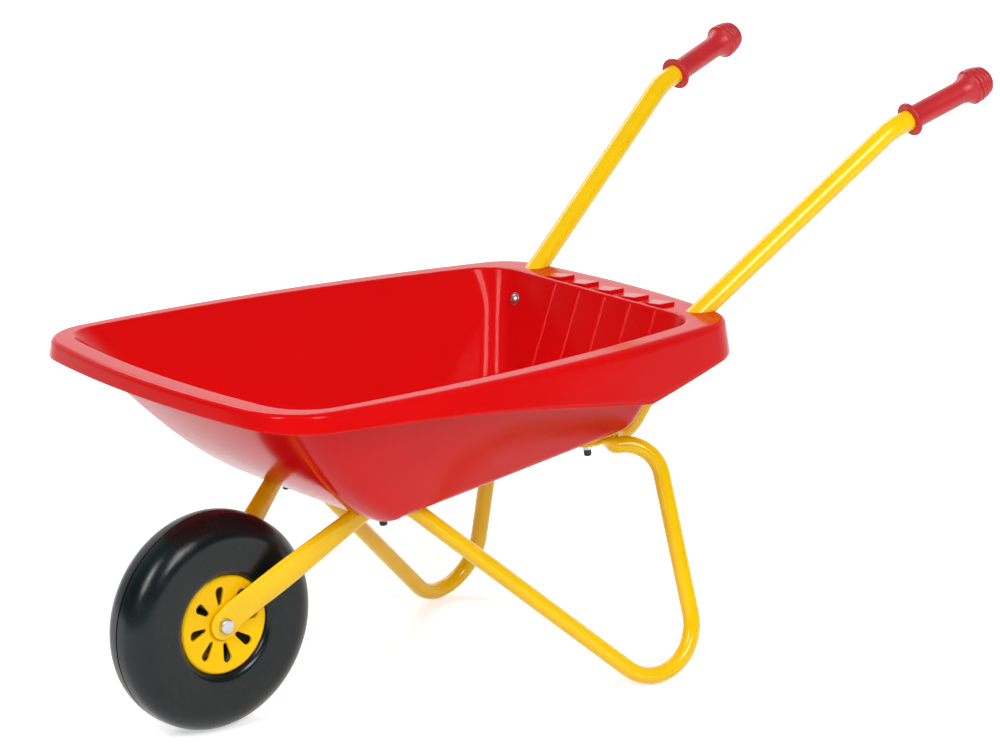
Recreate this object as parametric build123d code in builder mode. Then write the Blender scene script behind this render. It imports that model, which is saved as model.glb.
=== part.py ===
import math
import os

from build123d import *

os.makedirs("parts", exist_ok=True)

# Frame: +X towards the wheel, +Y the barrow's left, +Z up, origin under the middle of the part.
# All sizes are in millimetres.

# Wheel and axle
wheel_radius = 100.0
axle_x = 348.0
tyre_width = 54.0
tyre_bead_radius = 46.0
tyre_crown_width = 20.0
tread_groove_width = 2.0
tread_groove_depth = 1.4
tyre_bead_drop = 1.5
tyre_bead_middle = (2.2, 1.6)
tyre_bead_end = (6.0, 3.4)
tyre_widest_radius = 79.0
tyre_sidewall_radius = 65.0
tyre_sidewall_in = 0.5
tyre_shoulder_radius = 92.0
tyre_shoulder_half = 21.5
tyre_crown_drop = 0.9
tyre_crown_middle = 0.3
rim_disc_radius = 45.4
rim_edge_face = 22.0
rim_hub_face = 17.6
rim_hub_radius = 12.5
rim_wall = 3.0
rim_barrel_step = 0.8
rim_hub_bevel = 2.5
rim_hub_rise = 0.6
rim_lip_band = 7.0
rim_lip_rise = 0.3
rim_lip_round = 4.0
rim_lip_drop = 2.6
rim_lip_middle = 0.9
slot_count = 8
slot_inner_radius = 18.0
slot_outer_radius = 36.5
slot_inner_width = 4.6
slot_outer_width = 9.0
slot_start_angle = 37.3
sleeve_radius = 8.0
sleeve_half_length = 18.0
axle_radius = 4.0
axle_head_radius = 6.8
axle_nut_across = 13.0
axle_nut_height = 6.5
axle_head_height = 5.3
axle_washer_radius = 9.0
axle_washer_thickness = 1.2
axle_head_round = 1.6
axle_thread_out = 3.0

# Clearances
running_gap = 0.05
side_gap = 0.3
seat_gap = 0.05
hole_gap = 0.25
tube_hole_gap = 0.6

# Undercarriage tube, one bent tube per side
leg_radius = 8.0
leg_wall = 1.4
apex_x = 206.0
apex_y = 75.6
foot = (-99.0, 186.0, -55.33)
apex_rise = 14.0
apex_bend = 44.0
foot_bend = 46.6
top_bend = 36.0
top_x = -77.0
top_y = 113.0
leg_run_drop = 2.0
leg_flat_from = 28.0
leg_flat_to = 12.0
axle_tab_width = 27.0
axle_tab_thickness = 3.0
axle_flat_start = 13.0
axle_flat_end = 72.0
arm_oval_width = 20.5
arm_oval_thickness = 10.0
arm_oval_run = 64.0

# Handle tube, one bent tube per side
handle_radius = 10.0
handle_wall = 1.5
handle_at_rim = (-129.9, 117.9, 336.0)
handle_direction = (-0.7751, 0.1689, 0.6089)
handle_bend_run = 257.4
handle_low_y = 79.0
handle_flat_from = -60.0
handle_flat_to = -45.0
handle_grip_bend = 60.0
handle_rim_bend = 40.0
handle_low_bend = 18.0

# Grip
grip_direction = (-0.937, 0.12, 0.329)
grip_from_bend = 22.0
grip_length = 103.3
grip_end_wall = 8.3
grip_flange_radius = 16.5
grip_flange_thickness = 4.5
grip_barrel_radius = 11.2
grip_end_radius = 17.5
grip_cone_length = 13.0
grip_cone_sag = 0.9
grip_head_length = 27.3
grip_ring_count = 4
grip_ring_pitch = 5.4
grip_ring_depth = 2.0
grip_ring_fall = 0.35
grip_edge = 1.2
grip_neck_round = 1.5
grip_cap_edge = 1.0
grip_tube_gap = 1.0
grip_bore_depth = grip_length - grip_end_wall
grip_ring_start = grip_length - grip_head_length
grip_cone_start = grip_ring_start - grip_cone_length

# Tray
tray_wall = 3.0
rim_front_x = 402.0
rim_rear_x = -134.0
rim_front_z = 333.0
rim_rear_z = 337.0
rim_front_half = 191.3
rim_rear_half = 160.0
rim_front_bow = 20.9
rim_side_bow = 21.2
rim_rear_bow = 16.5
rim_front_corner = 62.0
rim_rear_corner = 48.0
rim_edge_round = 5.0
rim_inner_round = 2.5
opening_edge_round = 3.0
skirt_flare = 9.5
skirt_depths = [
    (440.0, 14.0),
    (405.0, 14.5),
    (370.0, 17.5),
    (315.0, 18.5),
    (253.0, 21.2),
    (209.0, 25.5),
    (163.0, 30.0),
    (116.0, 36.0),
    (67.0, 43.5),
]
skirt_deep_x = -2.0
skirt_deep = 53.5
skirt_rear_depth = 22.0
skirt_rear_run = 45.0
floor_front_x = 250.0
floor_slope = 0.132
floor_mid_x = 212.0
floor_mid_z = 196.0
front_wall_inset = 1.4
front_corner_low = 20.0
front_corner_high = 50.0
floor_round = 14.0
opening_side_bow = 18.2
opening_front_bow = 17.8
least_bow = 0.3
# Each level of the tub: its share of the height, its front corner's x and its rear corner's radius
tub_sections = [
    (0.0, 236.0, 16.0),
    (0.12, 260.0, 16.5),
    (0.3, 293.0, 17.5),
    (0.6, 335.0, 19.0),
    (1.0, 388.0, 48.0),
    (1.15, 408.0, 60.0),
]
rear_wall_top_x = -103.0
rear_wall_lean = 0.362
side_at_floor = 112.0
side_per_x = 0.0753
side_per_z = 0.424
panel_count = 5
panel_spacing = 35.7
panel_first_edge = -56.5
panel_step = 1.5
panel_length = 86.0
panel_top_drop = 4.0
panel_root = 1.0
flange_pad_x = -107.0
flange_pad_width = 31.0
flange_pad_depth = 18.0
flange_pad_height = 2.8

# Fasteners
bolt_radius = 2.5
bolt_head_radius = 4.8
bolt_head_height = 2.8
bolt_head_edge = 0.7
washer_radius = 6.5
washer_thickness = 1.0
nut_across = 8.0
nut_height = 5.0
cap_radius = 3.7
cap_height = 6.5
cap_wall = 1.0
cap_round = 1.5
cap_end_gap = 1.2
boss_edge = 1.2
drill_length = 40.0
rear_bolt_x = -21.0
rear_bolt_y = 82.0
wall_bolt_z = 306.0
handle_tab_thickness = 5.0
handle_tab_width = 28.0
leg_tab_thickness = 4.0
leg_tab_width = 23.0


def floor_outer(x):
    return floor_mid_z + (floor_mid_x - x) * floor_slope


def rim_height(x):
    share = (x - rim_front_x) / (rim_rear_x - rim_front_x)
    return rim_front_z + (rim_rear_z - rim_front_z) * share


def rear_wall_outer(z):
    return rear_wall_top_x - tray_wall + rear_wall_lean * (rim_rear_z - z)


def mirrored(point, side):
    return Vector(point.X, side * point.Y, point.Z)


def rounded_path(corners, radii):
    """Lines and arcs through the corners of a bent tube's centre line."""
    points = [Vector(*corner) for corner in corners]
    edges = []
    start = points[0]
    for before, corner, after, radius in zip(points, points[1:], points[2:], radii):
        back = (before - corner).normalized()
        ahead = (after - corner).normalized()
        half_angle = math.radians(back.get_angle(ahead)) / 2
        reach = radius / math.tan(half_angle)
        middle = corner + (back + ahead).normalized() * (radius / math.sin(half_angle) - radius)
        arc_start = corner + back * reach
        arc_end = corner + ahead * reach
        edges.append(Edge.make_line(start, arc_start))
        edges.append(Edge.make_three_point_arc(arc_start, middle, arc_end))
        start = arc_end
    edges.append(Edge.make_line(start, points[-1]))
    return Wire(edges)


# Directions that several pieces share
floor_length = math.hypot(1.0, floor_slope)
floor_ahead = Vector(1.0 / floor_length, 0, -floor_slope / floor_length)
floor_up = Vector(floor_slope / floor_length, 0, 1.0 / floor_length)
wall_length = math.hypot(1.0, rear_wall_lean)
wall_inward = Vector(1.0 / wall_length, 0, rear_wall_lean / wall_length)
wall_down = Vector(rear_wall_lean / wall_length, 0, -1.0 / wall_length)
rim_tilt = math.atan2(rim_rear_z - rim_front_z, rim_front_x - rim_rear_x)
rim_ahead = Vector(math.cos(rim_tilt), 0, -math.sin(rim_tilt))
rim_up = Vector(math.sin(rim_tilt), 0, math.cos(rim_tilt))
rim_plane = Plane(origin=(0, 0, rim_height(0)), x_dir=rim_ahead, z_dir=rim_up)


def floor_point(x, y, below):
    """A point a distance below the floor's underside, measured along the floor's normal."""
    return Vector(x, y, floor_outer(x)) - floor_up * below


# The handle tube's corners on the left side
handle_line = Vector(*handle_direction).normalized()
handle_rim_point = Vector(*handle_at_rim)
wall_clear = handle_radius + seat_gap
wall_offset = wall_clear * wall_length
corner_reach = 0.0
low_x = rear_wall_outer(floor_mid_z)
for step in range(12):
    corner_z = handle_rim_point.Z - handle_line.Z * corner_reach
    corner_x = rear_wall_outer(corner_z) - wall_offset
    corner_reach = (corner_x - handle_rim_point.X) / -handle_line.X
    low_z = floor_outer(low_x) - wall_clear * floor_length
    low_x = rear_wall_outer(low_z) - wall_offset
handle_corner = handle_rim_point - handle_line * corner_reach
handle_grip_corner = handle_rim_point + handle_line * handle_bend_run
grip_line = Vector(*grip_direction).normalized()
grip_start = handle_grip_corner + grip_line * grip_from_bend
handle_end = grip_start + grip_line * (grip_bore_depth - grip_tube_gap)
handle_low = Vector(low_x, handle_low_y, low_z)
handle_flat_start = floor_point(handle_flat_from, handle_low_y, wall_clear)
handle_tab_middle = handle_tab_thickness / 2 + seat_gap
handle_flat_end = floor_point(handle_flat_to, rear_bolt_y, handle_tab_middle)
handle_bolt_point = floor_point(rear_bolt_x, rear_bolt_y, handle_tab_middle)
handle_down = (handle_low - handle_corner).normalized()
wall_bolt_point = handle_corner + handle_down * ((wall_bolt_z - handle_corner.Z) / handle_down.Z)

# The undercarriage tube's rear end, under the handle tube's tab
handle_tab_below = handle_tab_thickness + 2 * seat_gap
leg_tab_middle = handle_tab_below + leg_tab_thickness / 2
leg_run_below = handle_tab_below + leg_radius + leg_run_drop
leg_top = floor_point(top_x, top_y, leg_run_below)
leg_bolt_point = floor_point(rear_bolt_x, rear_bolt_y, leg_tab_middle)
leg_run_end = floor_point(rear_bolt_x, rear_bolt_y, leg_run_below)
leg_run_line = (leg_run_end - leg_top).normalized()
leg_flat_start = leg_run_end - leg_run_line * leg_flat_from
leg_flat_end = leg_bolt_point - leg_run_line * leg_flat_to

# The axle stack on one side
washer_inner_face = sleeve_half_length + side_gap
tab_inner_face = washer_inner_face + axle_washer_thickness + seat_gap
tab_middle_y = tab_inner_face + axle_tab_thickness / 2
tab_outer_face = tab_inner_face + axle_tab_thickness + seat_gap
axle_point = Vector(axle_x, 0, wheel_radius)

# The front bend, which rises into a saddle in the tray's floor, where the front bolt goes through
apex = Vector(apex_x, apex_y, floor_outer(apex_x) + apex_rise)
arm_flat = Vector(apex.X - axle_x, 0, apex.Z - wheel_radius).normalized()
tab_end = axle_point + arm_flat * axle_flat_start + Vector(0, tab_middle_y, 0)
arm_line = (apex - tab_end).normalized()
strut_line = (Vector(*foot) - apex).normalized()
half_bend = math.radians((arm_line * -1).get_angle(strut_line)) / 2
bisector = (strut_line - arm_line).normalized()
bend_centre = apex + bisector * (apex_bend / math.sin(half_bend))
bend_normal = arm_line.cross(strut_line).normalized()
bend_up = (floor_up - bend_normal * floor_up.dot(bend_normal)).normalized()
bend_top = bend_centre + bend_up * apex_bend
arm_oval_middle = tab_end + arm_line * (axle_flat_end - axle_flat_start)
arm_round_start = arm_oval_middle + arm_line * arm_oval_run


def keep(builder, name):
    """Labels a finished piece and writes its file."""
    builder.part.label = name
    export_step(builder.part, f"parts/{name}.step")


def flat_end(plate_middle, ahead, flat_up, width, thickness, tube_middle, tube_line, radius):
    """The squeezed part of a tube, from its flat tab to its round section."""
    across = flat_up.cross(ahead).normalized()
    with BuildPart() as squeezed:
        with BuildSketch(Plane(origin=plate_middle, x_dir=across, z_dir=ahead)):
            Ellipse(width / 2, thickness / 2)
        with BuildSketch(Plane(origin=tube_middle, x_dir=across, z_dir=tube_line)):
            Circle(radius)
        loft(ruled=True)
    return squeezed.part


def oval_run(start, start_line, start_half, end, end_line, end_half, flat_up):
    """A straight run between two oval sections, each given by its half width and half thickness."""
    across = flat_up.cross(start_line).normalized()
    with BuildPart() as run:
        with BuildSketch(Plane(origin=start, x_dir=across, z_dir=start_line)):
            Ellipse(*start_half)
        with BuildSketch(Plane(origin=end, x_dir=across, z_dir=end_line)):
            Ellipse(*end_half)
        loft(ruled=True)
    return run.part


def tab_plate(start, end, flat_up, width, thickness, hole_radius):
    """A flat tab with round edges, and a bolt hole in the middle of its round end."""
    ahead = (end - start).normalized()
    run = (end - start).length
    with BuildPart() as tab:
        with BuildSketch(Plane(origin=end - flat_up * (thickness / 2), x_dir=ahead, z_dir=flat_up)):
            Circle(width / 2)
            with Locations((-run / 2, 0)):
                Rectangle(run, width)
        extrude(amount=thickness)
        bolt_way = round_bar(end - flat_up * thickness, flat_up, hole_radius, 2 * thickness)
        add(bolt_way, mode=Mode.SUBTRACT)
    return tab.part


def round_bar(start, direction, radius, length):
    return Solid.make_cylinder(radius, length, Plane(origin=start, z_dir=direction))


def hollow_tube(path, radius, wall):
    """A round tube of even wall along a bent centre line."""
    end_plane = Plane(origin=path @ 0, z_dir=path % 0)
    with BuildPart() as tube:
        with BuildSketch(end_plane):
            Circle(radius)
        sweep(path=path)
        with BuildSketch(end_plane):
            Circle(radius - wall)
        sweep(path=path, mode=Mode.SUBTRACT)
    return tube.part


def round_run(path, radius):
    """A solid round bar along a bent centre line."""
    with BuildPart() as run:
        with BuildSketch(Plane(origin=path @ 0, z_dir=path % 0)):
            Circle(radius)
        sweep(path=path)
    return run.part


def section_plane(seat, axis):
    """A plane that holds the axis: its x is the radius and its y the height."""
    radial = Vector(0, 1, 0) if abs(axis.Y) < 0.5 else Vector(0, 0, 1)
    radial = (radial - axis * radial.dot(axis)).normalized()
    return Plane(origin=seat, x_dir=radial, z_dir=radial.cross(axis))


def dome_point(edge_radius, edge_height, top_height, radius):
    """A point of the ball-shaped dome that runs from an edge to a top on the axis."""
    rise = top_height - edge_height
    ball = (edge_radius**2 + rise**2) / (2 * rise)
    return (radius, top_height - ball + math.sqrt(ball**2 - radius**2))


def domed_bolt(seat, up, length):
    """A round-headed bolt, its head standing on the seat."""
    with BuildPart() as bolt:
        with BuildSketch(section_plane(seat, up)):
            with BuildLine():
                head_edge = (bolt_head_radius, bolt_head_edge)
                Polyline((0, bolt_head_height), (0, -length), (bolt_radius, -length), (bolt_radius, 0))
                Polyline((bolt_radius, 0), (bolt_head_radius, 0), head_edge)
                crown = dome_point(*head_edge, bolt_head_height, bolt_head_radius / 2)
                ThreePointArc(head_edge, crown, (0, bolt_head_height))
            make_face()
        revolve(axis=Axis(seat, up))
    return bolt.part


def flat_ring(seat, up, outer_radius, hole_radius, thickness):
    """A washer that lies on the seat."""
    with BuildPart() as ring:
        with BuildSketch(Plane(origin=seat, z_dir=up)):
            Circle(outer_radius)
            Circle(hole_radius, mode=Mode.SUBTRACT)
        extrude(amount=thickness)
    return ring.part


def hex_nut(seat, up, across, hole_radius, height):
    """A hexagon nut that stands on the seat."""
    with BuildPart() as nut:
        with BuildSketch(Plane(origin=seat, z_dir=up)):
            RegularPolygon(across / 2, 6, major_radius=False)
            Circle(hole_radius, mode=Mode.SUBTRACT)
        extrude(amount=height)
    return nut.part


def end_cap(seat, up):
    """A plastic cap pushed over a bolt's end, round-topped and hollow."""
    with BuildPart() as cap:
        with BuildSketch(Plane(origin=seat, z_dir=up)):
            Circle(cap_radius)
        extrude(amount=cap_height)
        fillet(cap.faces().sort_by(Axis(seat, up))[-1].edges(), cap_round)
        hollow = round_bar(seat - up, up, bolt_radius + seat_gap, cap_height - cap_wall + up.length)
        add(hollow, mode=Mode.SUBTRACT)
    return cap.part


sides = {"left": 1, "right": -1}

# Tray: tub
half_space = rim_front_x - rim_rear_x
above_rim = 30.0


def tub_block(inset):
    """The tub's solid block, lofted from the floor to above the rim, its faces set in by an amount."""
    side_in = inset * math.hypot(1.0, side_per_x, side_per_z)
    rear_foot = rear_wall_outer(0.0) + inset * wall_length
    floor_start = floor_outer(0.0) + inset * floor_length
    with BuildPart() as block:
        for share, front_x, rear_corner in tub_sections:
            # This section's plane, between the floor and the rim: its height and slope along x
            start = floor_start + share * (rim_height(0.0) - floor_start)
            slope = -floor_slope + share * (rim_height(1.0) - rim_height(0.0) + floor_slope)
            stretch = math.hypot(1.0, slope)
            front = front_x - inset * front_wall_inset
            rear = (rear_foot - rear_wall_lean * start) / (1.0 + rear_wall_lean * slope)
            plane = Plane(origin=(0, 0, start), x_dir=(1, 0, slope), z_dir=(-slope, 0, 1))
            halves = []
            for x in (front, rear):
                ahead = x - floor_front_x
                from_floor = start + slope * x - floor_outer(floor_front_x)
                halves.append(side_at_floor - side_in + side_per_x * ahead + side_per_z * from_floor)
            front_at = front * stretch
            rear_at = rear * stretch
            middle_at = (front_at + rear_at) / 2
            side_middle = sum(halves) / 2 + max(share * opening_side_bow, least_bow)
            front_middle = front_at + max(share * opening_front_bow, least_bow)
            with BuildSketch(plane) as section:
                with BuildLine():
                    ThreePointArc((front_at, halves[0]), (middle_at, side_middle), (rear_at, halves[1]))
                    Line((rear_at, halves[1]), (rear_at, -halves[1]))
                    ThreePointArc((rear_at, -halves[1]), (middle_at, -side_middle), (front_at, -halves[0]))
                    ThreePointArc((front_at, -halves[0]), (front_middle, 0), (front_at, halves[0]))
                make_face()
                front_round = front_corner_low + share * (front_corner_high - front_corner_low) - inset
                fillet(section.vertices().sort_by(Axis.X)[-2:], front_round)
                fillet(section.vertices().sort_by(Axis.X)[:2], rear_corner - inset)
        loft()
        fillet(block.faces().sort_by(Axis.Z)[0].edges(), floor_round - inset)
    return block.part


def rim_outline(plane, grow):
    """The rim's plan: a trapezium with four bowed edges and round corners."""
    front = rim_front_x + grow
    rear = rim_rear_x - grow
    front_half = rim_front_half + grow
    rear_half = rim_rear_half + grow
    middle = (front + rear) / 2
    middle_half = (front_half + rear_half) / 2 + rim_side_bow
    with BuildSketch(plane) as outline:
        with BuildLine():
            ThreePointArc((front, -front_half), (front + rim_front_bow, 0), (front, front_half))
            ThreePointArc((front, front_half), (middle, middle_half), (rear, rear_half))
            ThreePointArc((rear, rear_half), (rear - rim_rear_bow, 0), (rear, -rear_half))
            ThreePointArc((rear, -rear_half), (middle, -middle_half), (front, -front_half))
        make_face()
        fillet(outline.vertices().sort_by(Axis.X)[-2:], rim_front_corner + grow)
        fillet(outline.vertices().sort_by(Axis.X)[:2], rim_rear_corner + grow)
    return outline.sketch


skirt_block_depth = 75.0
skirt_grow = skirt_block_depth * math.tan(math.radians(skirt_flare))


def skirt_block(inset, top_drop, edge_round):
    """The flared block under the rim, down to below the skirt's lowest edge."""
    start_grow = top_drop * math.tan(math.radians(skirt_flare)) - inset
    with BuildPart() as block:
        add(rim_outline(rim_plane.offset(-top_drop), start_grow))
        add(rim_outline(rim_plane.offset(-skirt_block_depth), skirt_grow - inset))
        loft(ruled=True)
        top = block.faces().sort_by(Axis.Z)[-1]
        fillet(top.edges(), edge_round)
    return block.part


skirt_outer = skirt_block(0.0, 0.0, rim_edge_round)
skirt_inner = skirt_block(tray_wall, tray_wall, rim_inner_round)
tub_outer = tub_block(0.0)
tub_inner = tub_block(tray_wall)
tub_middle = tub_block(tray_wall / 2)

with BuildPart() as under_skirt:
    with BuildSketch(Plane.XZ):
        with BuildLine():
            edge_points = [(x, rim_height(x) - depth) for x, depth in skirt_depths]
            deep_point = (skirt_deep_x, rim_height(skirt_deep_x) - skirt_deep)
            rear_x = rim_rear_x - skirt_rear_run
            rear_point = (rear_x, rim_height(rear_x) - skirt_rear_depth)
            Spline(*edge_points, deep_point)
            front_x = edge_points[0][0]
            Polyline(deep_point, rear_point, (rear_x, wheel_radius), (front_x, wheel_radius), edge_points[0])
        make_face()
    extrude(amount=half_space, both=True)

with BuildPart() as above:
    with BuildSketch(rim_plane):
        Rectangle(4 * half_space, 2 * half_space)
    extrude(amount=2 * above_rim)

handle_corners = [handle_flat_start, handle_low, handle_corner, handle_grip_corner, handle_end]
handle_bends = [handle_low_bend, handle_rim_bend, handle_grip_bend]
leg_corners = [arm_round_start, apex, Vector(*foot), leg_top, leg_flat_start]
leg_bends = [apex_bend, foot_bend, top_bend]
front_bolt_seat = bend_top + floor_up * (leg_radius + seat_gap)
rear_bolt_seat = Vector(rear_bolt_x, rear_bolt_y, floor_outer(rear_bolt_x))
bolt_hole = bolt_radius + hole_gap
tube_hole = handle_radius + tube_hole_gap
saddle_inner = leg_radius + seat_gap
saddle_reach = 2 * apex_bend
saddle_corners = [apex - arm_line * saddle_reach, apex, apex + strut_line * saddle_reach]
axle_hole = axle_radius + hole_gap

saddle_paths = []
saddles = []
for side in sides.values():
    saddle_path = rounded_path([mirrored(corner, side) for corner in saddle_corners], [apex_bend])
    boss_foot = mirrored(front_bolt_seat, side) - floor_up * leg_radius
    with BuildPart() as saddle:
        add(round_run(saddle_path, saddle_inner + tray_wall))
        add(round_bar(boss_foot, floor_up, washer_radius + boss_edge, leg_radius + tray_wall))
        add(tub_middle, mode=Mode.INTERSECT)
    saddle_paths.append(saddle_path)
    saddles.append(saddle.part)

with BuildPart() as tray:
    add(skirt_outer)
    add(skirt_inner, mode=Mode.SUBTRACT)
    add(under_skirt.part, mode=Mode.SUBTRACT)
    add(tub_outer)
    add(above.part, mode=Mode.SUBTRACT)
    add(tub_inner, mode=Mode.SUBTRACT)
    level_faces = tray.faces().filter_by(lambda face: face.normal_at().dot(rim_up) > 0.9999)
    opening = level_faces.sort_by(Axis.Z)[-1].inner_wires()[0]
    fillet(opening.edges(), opening_edge_round)
    # Saddles in the floor, over the front bends of the undercarriage tubes
    for saddle_solid, saddle_path in zip(saddles, saddle_paths):
        add(saddle_solid)
        add(round_run(saddle_path, saddle_inner), mode=Mode.SUBTRACT)
    # Saw-tooth panels on the rear wall's inside, and wedge steps above them on the rear flange
    panel_origin = Vector(rear_wall_outer(rim_rear_z), 0, rim_rear_z)
    panel_origin += wall_inward * (tray_wall - panel_root) + wall_down * panel_top_drop
    for index in range(panel_count):
        panel_edge = panel_first_edge + index * panel_spacing
        panel_start = panel_edge - panel_spacing
        with BuildSketch(Plane(origin=panel_origin, x_dir=(0, 1, 0), z_dir=wall_down)):
            with BuildLine():
                panel_top = (panel_edge, panel_root + panel_step)
                Polyline((panel_start, 0), (panel_edge, 0), panel_top, (panel_start, panel_root), close=True)
            make_face()
        extrude(amount=panel_length)
        pad_z = rim_height(flange_pad_x) - panel_root
        pad_start = Vector(flange_pad_x, panel_edge - flange_pad_width, pad_z)
        with BuildSketch(Plane(origin=pad_start, x_dir=(0, 1, 0), z_dir=rim_ahead)):
            with BuildLine():
                pad_top = (flange_pad_width, panel_root + flange_pad_height)
                Polyline((0, 0), (flange_pad_width, 0), pad_top, (0, panel_root), close=True)
            make_face()
        extrude(amount=-flange_pad_depth)
    for side in sides.values():
        handle_rim = mirrored(handle_rim_point, side)
        line = mirrored(handle_line, side)
        tube_start = handle_rim - line * (2 * handle_radius)
        add(round_bar(tube_start, line, tube_hole, 6 * handle_radius), mode=Mode.SUBTRACT)
        for seat in (front_bolt_seat, rear_bolt_seat):
            drill_start = mirrored(seat, side) - floor_up * tray_wall
            add(round_bar(drill_start, floor_up, bolt_hole, 3 * tray_wall), mode=Mode.SUBTRACT)
        wall_bolt = mirrored(wall_bolt_point, side)
        add(round_bar(wall_bolt, wall_inward, bolt_hole, drill_length / 2), mode=Mode.SUBTRACT)
keep(tray, "tray")

# Handle tubes and grips
for name, side in sides.items():
    path = rounded_path([mirrored(corner, side) for corner in handle_corners], handle_bends)
    tab_start = mirrored(handle_flat_end, side)
    tab_bolt = mirrored(handle_bolt_point, side)
    round_end = mirrored(handle_flat_start, side)
    wall_bolt = mirrored(wall_bolt_point, side)
    round_part = hollow_tube(path, handle_radius, handle_wall)
    squeezed_part = flat_end(
        tab_start, floor_ahead * -1, floor_up, handle_tab_width, handle_tab_thickness,
        round_end, floor_ahead * -1, handle_radius,
    )
    tab_part = tab_plate(
        tab_start, tab_bolt, floor_up, handle_tab_width, handle_tab_thickness, bolt_hole
    )
    with BuildPart() as handle_tube:
        add(round_part)
        add(squeezed_part)
        add(tab_part)
        drill_start = wall_bolt - wall_inward * (drill_length / 2)
        add(round_bar(drill_start, wall_inward, bolt_hole, drill_length), mode=Mode.SUBTRACT)
    keep(handle_tube, f"{name}_handle_tube")

    grip_seat = mirrored(grip_start, side)
    grip_axis = mirrored(grip_line, side)
    ring_floor = grip_end_radius - grip_ring_depth
    cone_height = (grip_cone_start + grip_ring_start) / 2
    bore_end = (handle_radius + seat_gap, grip_bore_depth)
    with BuildPart() as grip:
        with BuildSketch(section_plane(grip_seat, grip_axis)):
            with BuildLine():
                Polyline(
                    bore_end,
                    (handle_radius + seat_gap, 0),
                    (grip_flange_radius - grip_edge, 0),
                    (grip_flange_radius, grip_edge),
                    (grip_flange_radius, grip_flange_thickness - grip_edge),
                    (grip_flange_radius - grip_edge, grip_flange_thickness),
                    (grip_barrel_radius + grip_neck_round, grip_flange_thickness),
                    (grip_barrel_radius, grip_flange_thickness + grip_neck_round),
                    (grip_barrel_radius, grip_cone_start),
                )
                low = (ring_floor, grip_ring_start)
                cone_middle = ((grip_barrel_radius + ring_floor) / 2 - grip_cone_sag, cone_height)
                ThreePointArc((grip_barrel_radius, grip_cone_start), cone_middle, low)
                for index in range(grip_ring_count):
                    crest = grip_end_radius - grip_ring_fall * index**2
                    start = grip_ring_start + index * grip_ring_pitch
                    high = (crest - grip_ring_depth, start + grip_ring_pitch)
                    ThreePointArc(low, (crest, start + grip_ring_pitch / 2), high)
                    low = high
                cap_edge = (low[0] - grip_cap_edge, low[1] + grip_cap_edge)
                Line(low, cap_edge)
                cap_middle = dome_point(*cap_edge, grip_length, cap_edge[0] / 2)
                ThreePointArc(cap_edge, cap_middle, (0, grip_length))
                Polyline((0, grip_length), (0, grip_bore_depth), bore_end)
            make_face()
        revolve(axis=Axis(grip_seat, grip_axis))
    keep(grip, f"{name}_grip")

# Undercarriage tubes
for name, side in sides.items():
    path = rounded_path([mirrored(corner, side) for corner in leg_corners], leg_bends)
    outward = Vector(0, side, 0)
    plate_end = mirrored(tab_end, side)
    axle_seat = axle_point + outward * tab_middle_y
    rear_plate = mirrored(leg_flat_end, side)
    rear_round = mirrored(leg_flat_start, side)
    run_line = mirrored(leg_run_line, side)
    front_seat = mirrored(front_bolt_seat, side)
    round_part = hollow_tube(path, leg_radius, leg_wall)
    side_arm = mirrored(arm_line, side)
    oval_middle = mirrored(arm_oval_middle, side)
    round_start = mirrored(arm_round_start, side)
    tab_half = (axle_tab_width / 2, axle_tab_thickness / 2)
    oval_half = (arm_oval_width / 2, arm_oval_thickness / 2)
    oval_bore = (arm_oval_width / 2 - leg_wall, arm_oval_thickness / 2 - leg_wall)
    bore_radius = leg_radius - leg_wall
    round_half = (leg_radius, leg_radius)
    round_bore = (bore_radius, bore_radius)
    front_squeezed = oval_run(plate_end, arm_flat, tab_half, oval_middle, side_arm, oval_half, outward)
    arm_outside = oval_run(oval_middle, side_arm, oval_half, round_start, side_arm, round_half, outward)
    arm_bore = oval_run(oval_middle, side_arm, oval_bore, round_start, side_arm, round_bore, outward)
    axle_tab = tab_plate(
        plate_end, axle_seat, outward, axle_tab_width, axle_tab_thickness, axle_hole
    )
    rear_squeezed = flat_end(
        rear_plate, run_line * -1, floor_up, leg_tab_width, leg_tab_thickness,
        rear_round, run_line * -1, leg_radius,
    )
    rear_bolt = mirrored(leg_bolt_point, side)
    rear_tab = tab_plate(rear_plate, rear_bolt, floor_up, leg_tab_width, leg_tab_thickness, bolt_hole)
    with BuildPart() as leg_tube:
        add(arm_outside)
        add(arm_bore, mode=Mode.SUBTRACT)
        add(round_part)
        add(front_squeezed)
        add(axle_tab)
        add(rear_squeezed)
        add(rear_tab)
        drill_start = front_seat - floor_up * drill_length
        add(round_bar(drill_start, floor_up, bolt_hole, drill_length), mode=Mode.SUBTRACT)
    keep(leg_tube, f"{name}_undercarriage_tube")

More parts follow.
